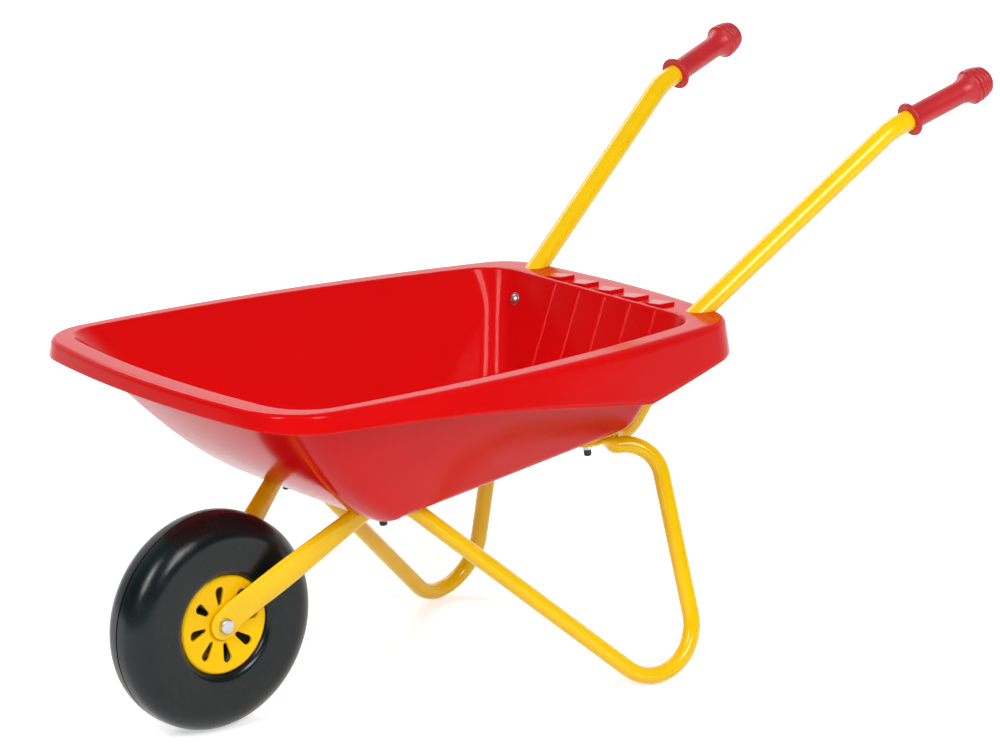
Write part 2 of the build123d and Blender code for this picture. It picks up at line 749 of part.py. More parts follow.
# Fasteners: each group holds the left and the right one
inner_floor = tray_wall + seat_gap
head_seat = inner_floor + washer_thickness + seat_gap
front_stack = 2 * leg_radius + seat_gap + hole_gap
rear_stack = handle_tab_below + leg_tab_thickness + seat_gap
wall_stack = handle_radius + seat_gap
groups = {
    "front_floor": (front_bolt_seat, floor_up, 0.0, front_stack),
    "rear_floor": (rear_bolt_seat, floor_up, 0.0, rear_stack),
    "rear_wall": (wall_bolt_point, wall_inward, wall_clear, wall_stack),
}
for group, (seat, up, face, stack) in groups.items():
    bolt_length = head_seat + face + stack + nut_height + cap_height - cap_wall - cap_end_gap
    seats = [mirrored(seat, side) for side in sides.values()]
    down = up * -1
    pieces = {"bolts": [], "washers": [], "nuts": [], "nut_caps": []}
    for at in seats:
        washer_seat = at + up * (face + inner_floor)
        bolt_seat = at + up * (face + head_seat)
        nut_seat = at + down * stack
        cap_seat = at + down * (stack + nut_height + seat_gap)
        pieces["bolts"].append(domed_bolt(bolt_seat, up, bolt_length))
        pieces["washers"].append(flat_ring(washer_seat, up, washer_radius, bolt_hole, washer_thickness))
        pieces["nuts"].append(hex_nut(nut_seat, down, nut_across, bolt_radius + seat_gap, nut_height))
        pieces["nut_caps"].append(end_cap(cap_seat, down))
    for kind, pair in pieces.items():
        with BuildPart() as fasteners:
            add(pair)
        keep(fasteners, f"{group}_{kind}")

# Axle
left = Vector(0, 1, 0)
with BuildPart() as axle_bolt:
    with BuildSketch(Plane(origin=axle_point + left * tab_outer_face, z_dir=left)):
        Circle(axle_head_radius)
    extrude(amount=axle_head_height)
    fillet(axle_bolt.faces().sort_by(Axis.Y)[-1].edges(), axle_head_round)
    shank_end = tab_outer_face + axle_nut_height + axle_thread_out
    shank_length = shank_end + tab_outer_face + axle_head_height / 2
    add(round_bar(axle_point - left * shank_end, left, axle_radius, shank_length))
keep(axle_bolt, "axle_bolt")

nut_seat = axle_point - left * tab_outer_face
nut_block = hex_nut(nut_seat, left * -1, axle_nut_across, axle_radius + seat_gap, axle_nut_height)
with BuildPart() as axle_nut:
    add(nut_block)
keep(axle_nut, "axle_nut")

axle_rings = []
for side in sides.values():
    seat = axle_point + left * (side * washer_inner_face)
    ring = flat_ring(seat, left * side, axle_washer_radius, axle_hole, axle_washer_thickness)
    axle_rings.append(ring)
with BuildPart() as axle_washers:
    add(axle_rings)
keep(axle_washers, "axle_washers")

# Wheel
with BuildPart() as hub_sleeve:
    with BuildSketch(Plane(origin=axle_point - left * sleeve_half_length, z_dir=left)):
        Circle(sleeve_radius)
        Circle(axle_radius + running_gap, mode=Mode.SUBTRACT)
    extrude(amount=2 * sleeve_half_length)
keep(hub_sleeve, "hub_sleeve")

barrel_radius = rim_disc_radius - rim_barrel_step
lip_inner = rim_edge_face - rim_wall - rim_hub_rise
lip_start = (rim_disc_radius - rim_lip_round, rim_edge_face)
lip_middle = (rim_disc_radius - rim_lip_middle, rim_edge_face - rim_lip_middle)
lip_end = (rim_disc_radius, rim_edge_face - rim_lip_drop)
bevel_radius = rim_hub_radius + rim_hub_bevel
bevel_face = rim_hub_face + rim_hub_rise
for name, side in sides.items():
    out = left * side
    with BuildPart() as rim_disc:
        with BuildSketch(section_plane(axle_point, out)) as disc_profile:
            with BuildLine():
                Polyline(
                    (sleeve_radius + seat_gap, seat_gap),
                    (sleeve_radius + seat_gap, rim_hub_face),
                    (rim_hub_radius, rim_hub_face),
                    (bevel_radius, bevel_face),
                    (rim_disc_radius - rim_lip_band, rim_edge_face - rim_lip_rise),
                    lip_start,
                )
                ThreePointArc(lip_start, lip_middle, lip_end)
                Polyline(
                    lip_end,
                    (rim_disc_radius, lip_inner),
                    (barrel_radius, lip_inner),
                    (barrel_radius, seat_gap),
                    (barrel_radius - rim_wall, seat_gap),
                    (barrel_radius - rim_wall, rim_edge_face - rim_wall),
                    (bevel_radius, bevel_face - rim_wall),
                    (rim_hub_radius, rim_hub_face - rim_wall),
                    (rim_hub_radius, seat_gap),
                    (sleeve_radius + seat_gap, seat_gap),
                )
            make_face()
        revolve(axis=Axis(axle_point, out))
        for index in range(slot_count):
            angle = math.radians(slot_start_angle + index * 360.0 / slot_count)
            spoke = Vector(math.cos(angle), 0, math.sin(angle))
            slot_origin = axle_point + out * (rim_hub_face - 2 * rim_wall)
            with BuildSketch(Plane(origin=slot_origin, x_dir=spoke, z_dir=out)):
                with Locations((slot_inner_radius + slot_inner_width / 2, 0)):
                    Circle(slot_inner_width / 2)
                with Locations((slot_outer_radius - slot_outer_width / 2, 0)):
                    Circle(slot_outer_width / 2)
                make_hull()
            extrude(amount=4 * rim_wall, mode=Mode.SUBTRACT)
    keep(rim_disc, f"{name}_rim_disc")

half_width = tyre_width / 2
half_crown = tyre_crown_width / 2
half_groove = tread_groove_width / 2
bore = barrel_radius + seat_gap
bead_face = lip_inner - seat_gap
groove_floor = wheel_radius - tread_groove_depth
with BuildPart() as tyre:
    with BuildSketch(section_plane(axle_point, left)) as tyre_profile:
        with BuildLine():
            Line((bore, -bead_face), (bore, bead_face))
            for side in sides.values():
                bead = (tyre_bead_radius, side * (rim_edge_face - tyre_bead_drop))
                bead_middle_half = rim_edge_face + tyre_bead_middle[1]
                bead_middle = (tyre_bead_radius + tyre_bead_middle[0], side * bead_middle_half)
                bead_end_half = rim_edge_face + tyre_bead_end[1]
                bead_end = (tyre_bead_radius + tyre_bead_end[0], side * bead_end_half)
                sidewall = (tyre_sidewall_radius, side * (half_width - tyre_sidewall_in))
                widest = (tyre_widest_radius, side * half_width)
                shoulder = (tyre_shoulder_radius, side * tyre_shoulder_half)
                crown = (wheel_radius - tyre_crown_drop, side * half_crown)
                crown_half = (half_crown + half_groove) / 2
                crown_middle = (wheel_radius - tyre_crown_middle, side * crown_half)
                groove_top = (wheel_radius, side * half_groove)
                Polyline((bore, side * bead_face), (tyre_bead_radius, side * bead_face), bead)
                ThreePointArc(bead, bead_middle, bead_end)
                ThreePointArc(bead_end, sidewall, widest)
                ThreePointArc(widest, shoulder, crown)
                ThreePointArc(crown, crown_middle, groove_top)
                Line(groove_top, (groove_floor, side * half_groove))
            Line((groove_floor, -half_groove), (groove_floor, half_groove))
        make_face()
    revolve(axis=Axis(axle_point, left))
keep(tyre, "tyre")
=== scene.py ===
import math
from types import SimpleNamespace

import bmesh
import bpy
import numpy as np
from mathutils import Matrix


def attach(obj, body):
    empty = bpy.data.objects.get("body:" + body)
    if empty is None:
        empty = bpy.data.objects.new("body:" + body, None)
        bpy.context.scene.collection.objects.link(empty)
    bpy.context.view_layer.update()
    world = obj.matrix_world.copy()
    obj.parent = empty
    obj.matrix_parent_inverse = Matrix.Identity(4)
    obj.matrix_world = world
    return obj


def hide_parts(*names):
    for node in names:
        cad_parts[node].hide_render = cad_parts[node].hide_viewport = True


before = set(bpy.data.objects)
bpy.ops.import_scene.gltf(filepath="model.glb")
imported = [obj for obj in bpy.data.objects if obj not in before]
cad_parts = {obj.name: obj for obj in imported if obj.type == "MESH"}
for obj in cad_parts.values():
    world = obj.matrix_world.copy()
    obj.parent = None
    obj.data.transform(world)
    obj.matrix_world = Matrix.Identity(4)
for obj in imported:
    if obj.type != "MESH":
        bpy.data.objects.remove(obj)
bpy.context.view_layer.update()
print("frame loaded,", len(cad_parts), "nodes")

mm = 0.001  # shapes are worked out in millimetres, meshes are in metres
weldDistance = 3e-6  # in metres; closes seams and poles
softEdge = 34.0  # an edge sharper than this many degrees stays an edge
nearlyUpright = 0.9  # upright share of an axis, above which x helps to find its two cross ways
leastAngle = 1e-9  # in radians; keeps an even turn from dividing by zero
aheadWay, leftWay, skyWay = np.eye(3)
sides = {"left": 1.0, "right": -1.0}


# shape tools

def unit(v):
    return v / np.linalg.norm(v, axis=-1, keepdims=True)


def ease(t):  # 0 to 1 with level ends: 3 t squared less 2 t cubed
    t = np.clip(t, 0.0, 1.0)
    return t * t * (3.0 - 2.0 * t)


def shares(count):  # even steps from 0 to 1
    return np.linspace(0.0, 1.0, count)


def mirrorTo(points, side):
    return np.array(points, float) * np.array([1.0, side, 1.0])


def arcAt(before, corner, after, radius, steps):
    # circle that touches both runs: its centre lies r / sin(half angle) from the corner on the bisector
    back = unit(before - corner)
    ahead = unit(after - corner)
    half = math.acos(np.clip(back @ ahead, -1.0, 1.0)) / 2
    centre = corner + unit(back + ahead) * radius / math.sin(half)
    turn = np.linspace(-1.0, 1.0, steps)[:, None] * (math.pi / 2 - half)
    return centre + radius * (np.cos(turn) * unit(corner - centre) + np.sin(turn) * unit(ahead - back))


def roundedPath(corners, radii, steps):
    # straight runs with an arc at each inner corner; radius 0 keeps the corner sharp
    corners = np.array(corners, float)
    parts = [corners[:1]]
    for before, corner, after, radius in zip(corners, corners[1:], corners[2:], radii):
        if radius > 0:
            parts.append(arcAt(before, corner, after, radius, steps))
        else:
            parts.append(corner[None])
    parts.append(corners[-1:])
    return np.concatenate(parts)


def roundedLoop(corners, radii, sideSteps, cornerSteps):
    # closed outline: each corner is an arc, each side is divided evenly between the arcs' ends
    corners = np.array(corners, float)
    count = len(corners)
    arcs = []
    for index, radius in enumerate(radii):
        before = corners[index - 1]
        after = corners[(index + 1) % count]
        arcs.append(arcAt(before, corners[index], after, radius, cornerSteps))
    share = shares(sideSteps + 2)[1:-1, None]
    parts = []
    for index, arc in enumerate(arcs):
        nextArc = arcs[(index + 1) % count]
        parts.append(arc)
        parts.append(arc[-1] + share * (nextArc[0] - arc[-1]))
    return np.concatenate(parts)


def slerp(first, second, share):  # even turn from one direction to the other
    angle = max(math.acos(np.clip(first @ second, -1.0, 1.0)), leastAngle)
    return (np.sin((1.0 - share) * angle) * first + np.sin(share * angle) * second) / math.sin(angle)


def bowedLoop(corners, bows, radii, sideSteps, cornerSteps):
    # closed outline, counter-clockwise: every side is an arc that bows outwards, every corner a fillet;
    # a fillet's centre lies at (side radius - fillet radius) from the centres of both its sides
    corners = np.array(corners, float)
    count = len(corners)
    centres = []
    sideRadii = []
    for index, bow in enumerate(bows):
        chord = corners[(index + 1) % count] - corners[index]
        away = unit(np.array([chord[1], -chord[0]]))
        sideRadius = ((chord @ chord) / 4 + bow ** 2) / (2 * bow)
        centres.append(corners[index] + chord / 2 + away * (bow - sideRadius))
        sideRadii.append(sideRadius)
    fillets = []
    for index, radius in enumerate(radii):
        first, second = centres[index - 1], centres[index]
        reach = np.array([sideRadii[index - 1], sideRadii[index]]) - radius
        gap = np.linalg.norm(second - first)
        along = (reach[0] ** 2 - reach[1] ** 2 + gap ** 2) / (2 * gap)
        high = math.sqrt(reach[0] ** 2 - along ** 2)
        line = (second - first) / gap
        across = np.array([-line[1], line[0]])
        across = across * np.sign(across @ (corners[index] - first))
        middle = first + line * along + across * high
        fillets.append((middle, unit(middle - first), unit(middle - second), radius))
    share = shares(sideSteps + 2)[1:-1, None]
    blend = shares(cornerSteps)[:, None]
    parts = []
    for index, (middle, startWay, endWay, radius) in enumerate(fillets):
        parts.append(middle + radius * slerp(startWay, endWay, blend))
        nextStart = fillets[(index + 1) % count][1]
        parts.append(centres[index] + sideRadii[index] * slerp(endWay, nextStart, share))
    return np.concatenate(parts)


def threePointArc(start, middle, end, steps):
    # the circle through three points of a plane, walked from start to end by way of the middle
    start, middle, end = (np.array(p, float) for p in (start, middle, end))
    rows = np.stack([middle - start, end - start])
    centre = start + np.linalg.solve(2 * rows, (rows ** 2).sum(axis=1))
    angles = [math.atan2(*(p - centre)[::-1]) for p in (start, middle, end)]
    full = 2 * math.pi
    toMiddle = (angles[1] - angles[0]) % full
    toEnd = (angles[2] - angles[0]) % full
    if toMiddle > toEnd:
        toEnd -= full
    turn = angles[0] + shares(steps) * toEnd
    return centre + np.linalg.norm(start - centre) * np.stack([np.cos(turn), np.sin(turn)], axis=1)


def domeCurve(edge, top, steps):
    # height over the radius, from the middle to the edge, of the ball through the edge and the top
    rise = top - edge[1]
    ball = (edge[0] ** 2 + rise ** 2) / (2 * rise)
    radius = np.linspace(0.0, edge[0], steps)
    return np.column_stack([radius, top - ball + np.sqrt(ball ** 2 - radius ** 2)])


def fullTurn(count):
    return np.linspace(0.0, 2 * math.pi, count, endpoint=False)


def axisFrame(axis):
    axis = unit(np.array(axis, float))
    helper = skyWay if abs(axis[2]) < nearlyUpright else aheadWay
    across = unit(np.cross(helper, axis))
    return axis, across, np.cross(axis, across)


def lathe(profile, origin, axis, steps):
    # origin + height * axis + radius * (cos angle * across + sin angle * other)
    axis, across, other = axisFrame(axis)
    angles = fullTurn(steps)
    ring = np.cos(angles)[:, None] * across + np.sin(angles)[:, None] * other
    profile = np.array(profile, float)
    return np.array(origin) + profile[:, None, 1:2] * axis + profile[:, None, 0:1] * ring[None]


def prism(section, origin, acrossWay, upWay, longWay, length):
    # a flat outline carried straight along, closed by a point in the middle of each end
    flat = np.array(origin) + section[:, 0:1] * acrossWay + section[:, 1:2] * upWay
    middle = np.repeat(flat.mean(axis=0)[None], len(flat), axis=0)
    shift = np.array(longWay) * length
    return np.stack([middle, flat, flat + shift, middle + shift])


def closedEnds(rings):
    # a row of one repeated point, the middle of the end ring, before and after the rings
    first = np.repeat(rings[0].mean(axis=0)[None], rings.shape[1], axis=0)
    last = np.repeat(rings[-1].mean(axis=0)[None], rings.shape[1], axis=0)
    return np.concatenate([first[None], rings, last[None]])


def gridFaces(rows, columns):  # the last column joins the first
    r, c = np.meshgrid(np.arange(rows - 1), np.arange(columns), indexing="ij")
    nextC = (c + 1) % columns
    corners = [r * columns + c, r * columns + nextC, (r + 1) * columns + nextC, (r + 1) * columns + c]
    return np.stack(corners, axis=-1).reshape(-1, 4)


def addObject(name, data):
    made = bpy.data.objects.new(name, data)
    bpy.context.scene.collection.objects.link(made)
    return made


def makePiece(name, grids, slotName, nodes, body="frame", sharpAngle=softEdge):
    points = []
    faces = []
    start = 0
    for grid in grids:
        rows, columns = grid.shape[:2]
        points.append(grid.reshape(-1, 3) * mm)
        faces.append(gridFaces(rows, columns) + start)
        start += rows * columns
    mesh = bpy.data.meshes.new(name)
    mesh.from_pydata(np.concatenate(points).tolist(), [], np.concatenate(faces).tolist())
    work = bmesh.new()
    work.from_mesh(mesh)
    bmesh.ops.remove_doubles(work, verts=work.verts, dist=weldDistance)
    bmesh.ops.recalc_face_normals(work, faces=work.faces)
    work.to_mesh(mesh)
    work.free()
    mesh.shade_smooth()
    mesh.set_sharp_from_angle(angle=math.radians(sharpAngle))
    piece = addObject(name, mesh)
    mesh.materials.append(slotMaterials[slotName])
    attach(piece, body)
    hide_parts(*nodes)
    return piece


# shader tools

def addNode(tree, kind, settings, inputs):
    # each input takes a link where a socket is given, and else a plain value
    node = tree.nodes.new("ShaderNode" + kind)
    for label, value in settings.items():
        setattr(node, label, value)
    for key, value in inputs.items():
        if isinstance(value, bpy.types.NodeSocket):
            tree.links.new(value, node.inputs[key])
        else:
            node.inputs[key].default_value = value
    return node


def mathIn(tree, operation, first, second):
    return addNode(tree, "Math", {"operation": operation}, {0: first, 1: second}).outputs[0]


def rangeIn(tree, value, source, target=(0.0, 1.0), kind="SMOOTHSTEP"):
    inputs = {"Value": value, "From Min": source[0], "From Max": source[1]}
    inputs.update({"To Min": target[0], "To Max": target[1]})
    return addNode(tree, "MapRange", {"interpolation_type": kind}, inputs).outputs["Result"]


def mixColours(tree, factor, first, second):  # inputs 6 and 7 and output 2 are the node's colours
    inputs = {"Factor": factor, 6: first, 7: second}
    return addNode(tree, "Mix", {"data_type": "RGBA"}, inputs).outputs[2]


def mixValues(tree, factor, first, second):  # inputs 2 and 3 and output 0 are its plain values
    return addNode(tree, "Mix", {}, {"Factor": factor, 2: first, 3: second}).outputs[0]


def coordsIn(tree, kind):
    return addNode(tree, "TexCoord", {}, {}).outputs[kind]


def noiseIn(tree, scale, kind):
    detail, roughness = noiseKinds[kind]
    inputs = {"Scale": scale, "Detail": detail, "Roughness": roughness}
    inputs["Vector"] = coordsIn(tree, "Object")
    return addNode(tree, "TexNoise", {}, inputs).outputs["Fac"]


# shared effects: node groups that give a colour, a value or a normal

noiseRange = (0.35, 0.7)  # the noise's own values between which a patch fades in
# detail and roughness of each noise
noiseKinds = {"cloud": (4.0, 0.55), "gloss": (6.0, 0.6), "Wave": (1.0, 0.4), "Grain": (2.0, 0.5)}


def newGroup(name, inputs, output):
    group = bpy.data.node_groups.new(name, "ShaderNodeTree")
    for label, kind in inputs.items():
        group.interface.new_socket(label, in_out="INPUT", socket_type="NodeSocket" + kind)
    label, kind = output
    group.interface.new_socket(label, in_out="OUTPUT", socket_type="NodeSocket" + kind)
    return group, group.nodes.new("NodeGroupInput").outputs


def closeGroup(group, socket):
    result = group.nodes.new("NodeGroupOutput")
    group.links.new(socket, result.inputs[0])
    return group


def cloudyColour():  # two tones in soft clouds, as a moulded or sprayed colour has
    inputs = {"Tone": "Color", "Cloud": "Color", "Scale": "Float", "Amount": "Float"}
    group, given = newGroup("cloudyColour", inputs, ("Color", "Color"))
    cloud = rangeIn(group, noiseIn(group, given["Scale"], "cloud"), noiseRange)
    factor = mathIn(group, "MULTIPLY", cloud, given["Amount"])
    return closeGroup(group, mixColours(group, factor, given["Tone"], given["Cloud"]))


def patchyGloss():  # roughness that goes between two values in soft patches
    inputs = {"Smooth": "Float", "Dull": "Float", "Scale": "Float"}
    group, given = newGroup("patchyGloss", inputs, ("Roughness", "Float"))
    noise = noiseIn(group, given["Scale"], "gloss")
    ends = (given["Smooth"], given["Dull"])
    return closeGroup(group, rangeIn(group, noise, noiseRange, ends, "LINEAR"))


def skinRelief():  # fine relief: a slow waviness and a fine grain, as one normal
    labels = ("Wave scale", "Wave height", "Grain scale", "Grain height")
    inputs = {label: "Float" for label in labels}
    group, given = newGroup("skinRelief", inputs, ("Normal", "Vector"))
    heights = []
    for label in ("Wave", "Grain"):
        noise = noiseIn(group, given[label + " scale"], label)
        heights.append(mathIn(group, "MULTIPLY", noise, given[label + " height"]))
    bump = addNode(group, "Bump", {}, {"Distance": 1.0, "Height": mathIn(group, "ADD", *heights)})
    return closeGroup(group, bump.outputs["Normal"])


def hollowShade():  # painted shade: a dark tone deep in the wheel's hollow, where little light reaches; y is the axle's way
    inputs = {"Color": "Color", "Dark": "Color", "Deep": "Float", "Face": "Float"}
    group, given = newGroup("hollowShade", inputs, ("Color", "Color"))
    split = addNode(group, "SeparateXYZ", {}, {0: coordsIn(group, "Object")})
    away = mathIn(group, "ABSOLUTE", split.outputs["Y"], 0.0)
    deep = rangeIn(group, away, (given["Deep"], given["Face"]), (1.0, 0.0))
    return closeGroup(group, mixColours(group, deep, given["Color"], given["Dark"]))


groups = {
    "colour": cloudyColour(), "gloss": patchyGloss(), "relief": skinRelief(), "hollow": hollowShade(),
}


def placeGroup(tree, name, values):
    return addNode(tree, "Group", {"node_tree": groups[name]}, values).outputs[0]


def newMaterial(name):
    material = bpy.data.materials.new(name)
    material.use_nodes = True
    return material, material.node_tree, material.node_tree.nodes["Principled BSDF"].inputs


def finishMaterial(name, look):
    material, tree, shader = newMaterial(name)
    for label, value in look["shader"].items():
        shader[label].default_value = value
    paint = placeGroup(tree, "colour", look["colour"])
    if "hollow" in look:
        paint = placeGroup(tree, "hollow", {"Color": paint, **look["hollow"]})
    tree.links.new(paint, shader["Base Color"])
    tree.links.new(placeGroup(tree, "gloss", look["gloss"]), shader["Roughness"])
    tree.links.new(placeGroup(tree, "relief", look["relief"]), shader["Normal"])
    return material


def tone(red, green, blue):  # screen colour, 0 to 255, to the linear value a shader takes
    share = np.array([red, green, blue]) / 255.0
    linear = np.where(share > 0.04045, ((share + 0.055) / 1.055) ** 2.4, share / 12.92)
    return (*linear.tolist(), 1.0)


def relief(waveScale, waveHeight, grainScale, grainHeight):  # heights in metres
    return {
        "Wave scale": waveScale, "Wave height": waveHeight,
        "Grain scale": grainScale, "Grain height": grainHeight,
    }


def clouds(main, cloud, scale, amount):
    return {"Tone": tone(*main), "Cloud": tone(*cloud), "Scale": scale, "Amount": amount}


looks = {
    "glossyRedPlastic": {
        "slot": "tray",
        "colour": clouds((216, 12, 14), (208, 10, 12), 9.0, 0.5),
        "gloss": {"Smooth": 0.12, "Dull": 0.18, "Scale": 14.0},
        "relief": relief(16.0, 0.0003, 900.0, 0.000004),
        "shader": {"IOR": 1.2},
    },
    "yellowTubePaint": {
        "slot": "tube_paint",
        "colour": clouds((251, 207, 6), (245, 196, 5), 18.0, 0.5),
        "gloss": {"Smooth": 0.14, "Dull": 0.22, "Scale": 30.0},
        "relief": relief(90.0, 0.00002, 900.0, 0.000006),
        "shader": {"IOR": 1.42},
    },
    "yellowWheelPlastic": {
        "slot": "wheel_disc",
        "colour": clouds((254, 206, 4), (248, 194, 4), 24.0, 0.5),
        "gloss": {"Smooth": 0.28, "Dull": 0.36, "Scale": 30.0},
        "relief": relief(60.0, 0.00004, 1200.0, 0.000006),
        # painted shade: the discs turn dark deep in the hollow between them, where little light reaches
        "hollow": {"Dark": tone(40, 26, 6), "Deep": 0.0145, "Face": 0.017},
        "shader": {"IOR": 1.26},
    },
    "matteRedGrip": {
        "slot": "grip",
        "colour": clouds((200, 36, 43), (184, 29, 38), 30.0, 0.6),
        "gloss": {"Smooth": 0.36, "Dull": 0.5, "Scale": 40.0},
        "relief": relief(90.0, 0.00005, 1500.0, 0.00002),
        "shader": {"IOR": 1.47},
    },
    "charcoalTyreRubber": {
        "slot": "tyre",
        "colour": clouds((12, 25, 26), (8, 18, 19), 26.0, 0.7),
        "gloss": {"Smooth": 0.2, "Dull": 0.32, "Scale": 34.0},
        "relief": relief(70.0, 0.0002, 1300.0, 0.00002),
        "shader": {"IOR": 1.39},
    },
    "zincSteel": {
        "slot": "steel",
        "colour": clouds((206, 210, 214), (180, 184, 188), 120.0, 0.6),
        "gloss": {"Smooth": 0.24, "Dull": 0.42, "Scale": 160.0},
        "relief": relief(200.0, 0.00004, 2400.0, 0.000008),
        "shader": {"Metallic": 1.0},
    },
    "blackCapPlastic": {
        "slot": "cap",
        "colour": clouds((30, 30, 32), (22, 22, 24), 90.0, 0.6),
        "gloss": {"Smooth": 0.34, "Dull": 0.48, "Scale": 90.0},
        "relief": relief(120.0, 0.00005, 1600.0, 0.00001),
        "shader": {"IOR": 1.47},
    },
}
slotMaterials = {look["slot"]: finishMaterial(name, look) for name, look in looks.items()}
print("materials made,", len(slotMaterials))


# tray

trayValues = {
    "wall": 3.0, "sharpAngle": 40.0,
    "rimFront": 402.0, "rimRear": -134.0, "rimFrontZ": 333.0, "rimRearZ": 337.0,
    "rimFrontHalf": 191.3, "rimRearHalf": 160.0, "rimBows": {"front": 20.9, "side": 21.2, "rear": 16.5},
    "rimFrontCorner": 62.0, "rimRearCorner": 48.0,
    "rimEdgeRound": 5.0, "rimInnerRound": 2.5, "openingRound": 3.0,
    "skirtFlare": 9.5, "skirtDeepX": -2.0, "skirtDeep": 53.5, "skirtRearX": -179.0, "skirtRear": 22.0,
    "skirtX": [440.0, 405.0, 370.0, 315.0, 253.0, 209.0, 163.0, 116.0, 67.0, -2.0],
    "skirtDepth": [14.0, 14.5, 17.5, 18.5, 21.2, 25.5, 30.0, 36.0, 43.5, 53.5],
    "skirtLipFlat": 0.5,
    "floorX": 212.0, "floorZ": 196.0, "floorSlope": 0.132, "sideX": 250.0,
    "rearTop": -103.0, "rearLean": 0.362,
    "sideAtFloor": 112.0, "sidePerX": 0.0753, "sidePerZ": 0.424,
    "openingBows": {"front": 17.8, "side": 18.2}, "leastBow": 0.02,
    "frontShare": [0.0, 0.12, 0.3, 0.6, 1.0, 1.15], "frontX": [236.0, 260.0, 293.0, 335.0, 388.0, 408.0],
    "fitPower": 4, "frontInset": 1.4, "frontCorner": [20.0, 50.0], "floorRound": 14.0,
    "rearCorner": {"floor": 26.0, "rise": -1.0, "flareFrom": 0.55, "flare": 23.0},
    "panelCount": 5, "panelSpacing": 35.7, "panelFirst": -56.5, "panelLength": 86.0,
    "panelStep": 1.5, "panelRamp": 2.8, "panelTop": 4.0, "panelThin": 0.02, "panelRoot": 0.4,
    "padX": -107.0, "padWidth": 31.0, "padDepth": 18.0, "padHeight": 2.8, "padRoot": 0.4,
    "padRounds": [0.02, 0.02, 0.35],
    "sideSteps": 44, "cornerSteps": 18, "levelCount": 61, "leanLevels": 3, "wallRows": 30,
    "floorSpread": [0.0, 0.25, 0.5, 0.75, 0.92], "floorArcSteps": 11, "openingSteps": 9,
    "edgeSteps": 10, "flangeSteps": 6, "skirtSteps": 10, "lipSteps": 7, "rampSteps": 15,
    "padSideSteps": 6, "padCornerSteps": 5,
}
tray = SimpleNamespace(**trayValues)


def floorHeight(x):
    return tray.floorZ + (tray.floorX - x) * tray.floorSlope


rimSlope = (tray.rimFrontZ - tray.rimRearZ) / (tray.rimFront - tray.rimRear)


def rimHeight(x):
    return tray.rimFrontZ + (x - tray.rimFront) * rimSlope


floorUp = unit(np.array([tray.floorSlope, 0.0, 1.0]))
floorAhead = unit(np.array([1.0, 0.0, -tray.floorSlope]))
rimUp = unit(np.array([-rimSlope, 0.0, 1.0]))
rimAhead = unit(np.array([1.0, 0.0, rimSlope]))
wallInward = unit(np.array([1.0, 0.0, tray.rearLean]))
frontFit = np.polyfit(tray.frontShare, tray.frontX, tray.fitPower)
skirtFit = np.polyfit(tray.skirtX, tray.skirtDepth, tray.fitPower)
leanShare = tray.leanLevels / (tray.levelCount - 1)


def rearWall(z):
    return tray.rearTop - tray.wall + tray.rearLean * (tray.rimRearZ - z)


def trapezium(front, rear, halves, rounds, bows):
    # edges across at the front and rear x, joined by the sides; bowed edges, filleted corners
    frontHalf, rearHalf = halves
    frontRound, rearRound = rounds
    corners = [(front, frontHalf), (rear, rearHalf), (rear, -rearHalf), (front, -frontHalf)]
    ways = ("side", "rear", "side", "front")
    bowList = [max(bows.get(way, 0.0), tray.leastBow) for way in ways]
    radii = [frontRound, rearRound, rearRound, frontRound]
    return bowedLoop(corners, bowList, radii, tray.sideSteps, tray.cornerSteps)


def tubLevel(share, inset):
    # the tub's outline at a share of the way from the floor plane to the rim plane
    bottom = floorHeight(0.0) + inset * math.hypot(1.0, tray.floorSlope)
    height = bottom + share * (rimHeight(0.0) - bottom)
    slope = -tray.floorSlope + share * (rimSlope + tray.floorSlope)
    lean = tray.rearLean
    rearFoot = rearWall(0.0) + inset * math.hypot(1.0, lean)
    front = np.polyval(frontFit, share) - inset * tray.frontInset
    rear = (rearFoot - lean * height) / (1.0 + lean * slope)
    sideIn = inset * math.sqrt(1.0 + tray.sidePerX ** 2 + tray.sidePerZ ** 2)
    halves = []
    for x in (front, rear):
        above = height + slope * x - floorHeight(tray.sideX)
        wider = tray.sidePerX * (x - tray.sideX) + tray.sidePerZ * above
        halves.append(tray.sideAtFloor - sideIn + wider)
    low, high = tray.frontCorner
    frontRound = low + share * (high - low) - inset
    corner = tray.rearCorner
    flareShare = max(share - corner["flareFrom"], 0.0) / (1.0 - corner["flareFrom"])
    rearRound = corner["floor"] + corner["rise"] * share + corner["flare"] * flareShare ** 2 - inset
    bows = {way: share * bow for way, bow in tray.openingBows.items()}
    flat = trapezium(front, rear, halves, (frontRound, rearRound), bows)
    return np.column_stack([flat, height + slope * flat[:, 0]])


def tubLevels(inset):
    return np.stack([tubLevel(share, inset) for share in shares(tray.levelCount)])


def atShare(levels, share):  # a point of each column, at that column's own share of the height
    place = np.clip(share, 0.0, 1.0) * (tray.levelCount - 1)
    low = np.minimum(place.astype(int), tray.levelCount - 2)
    part = (place - low)[..., None]
    column = np.arange(levels.shape[1])
    return levels[low, column] * (1.0 - part) + levels[low + 1, column] * part


def outwardWay(loop):  # level normal of a closed outline, away from its middle
    along = unit(np.roll(loop, -1, axis=0)[:, :2] - np.roll(loop, 1, axis=0)[:, :2])
    normal = np.column_stack([along[:, 1], -along[:, 0]])
    away = np.sign(((loop[:, :2] - loop[:, :2].mean(axis=0)) * normal).sum(axis=1).mean())
    return np.column_stack([normal * away, np.zeros(len(loop))])


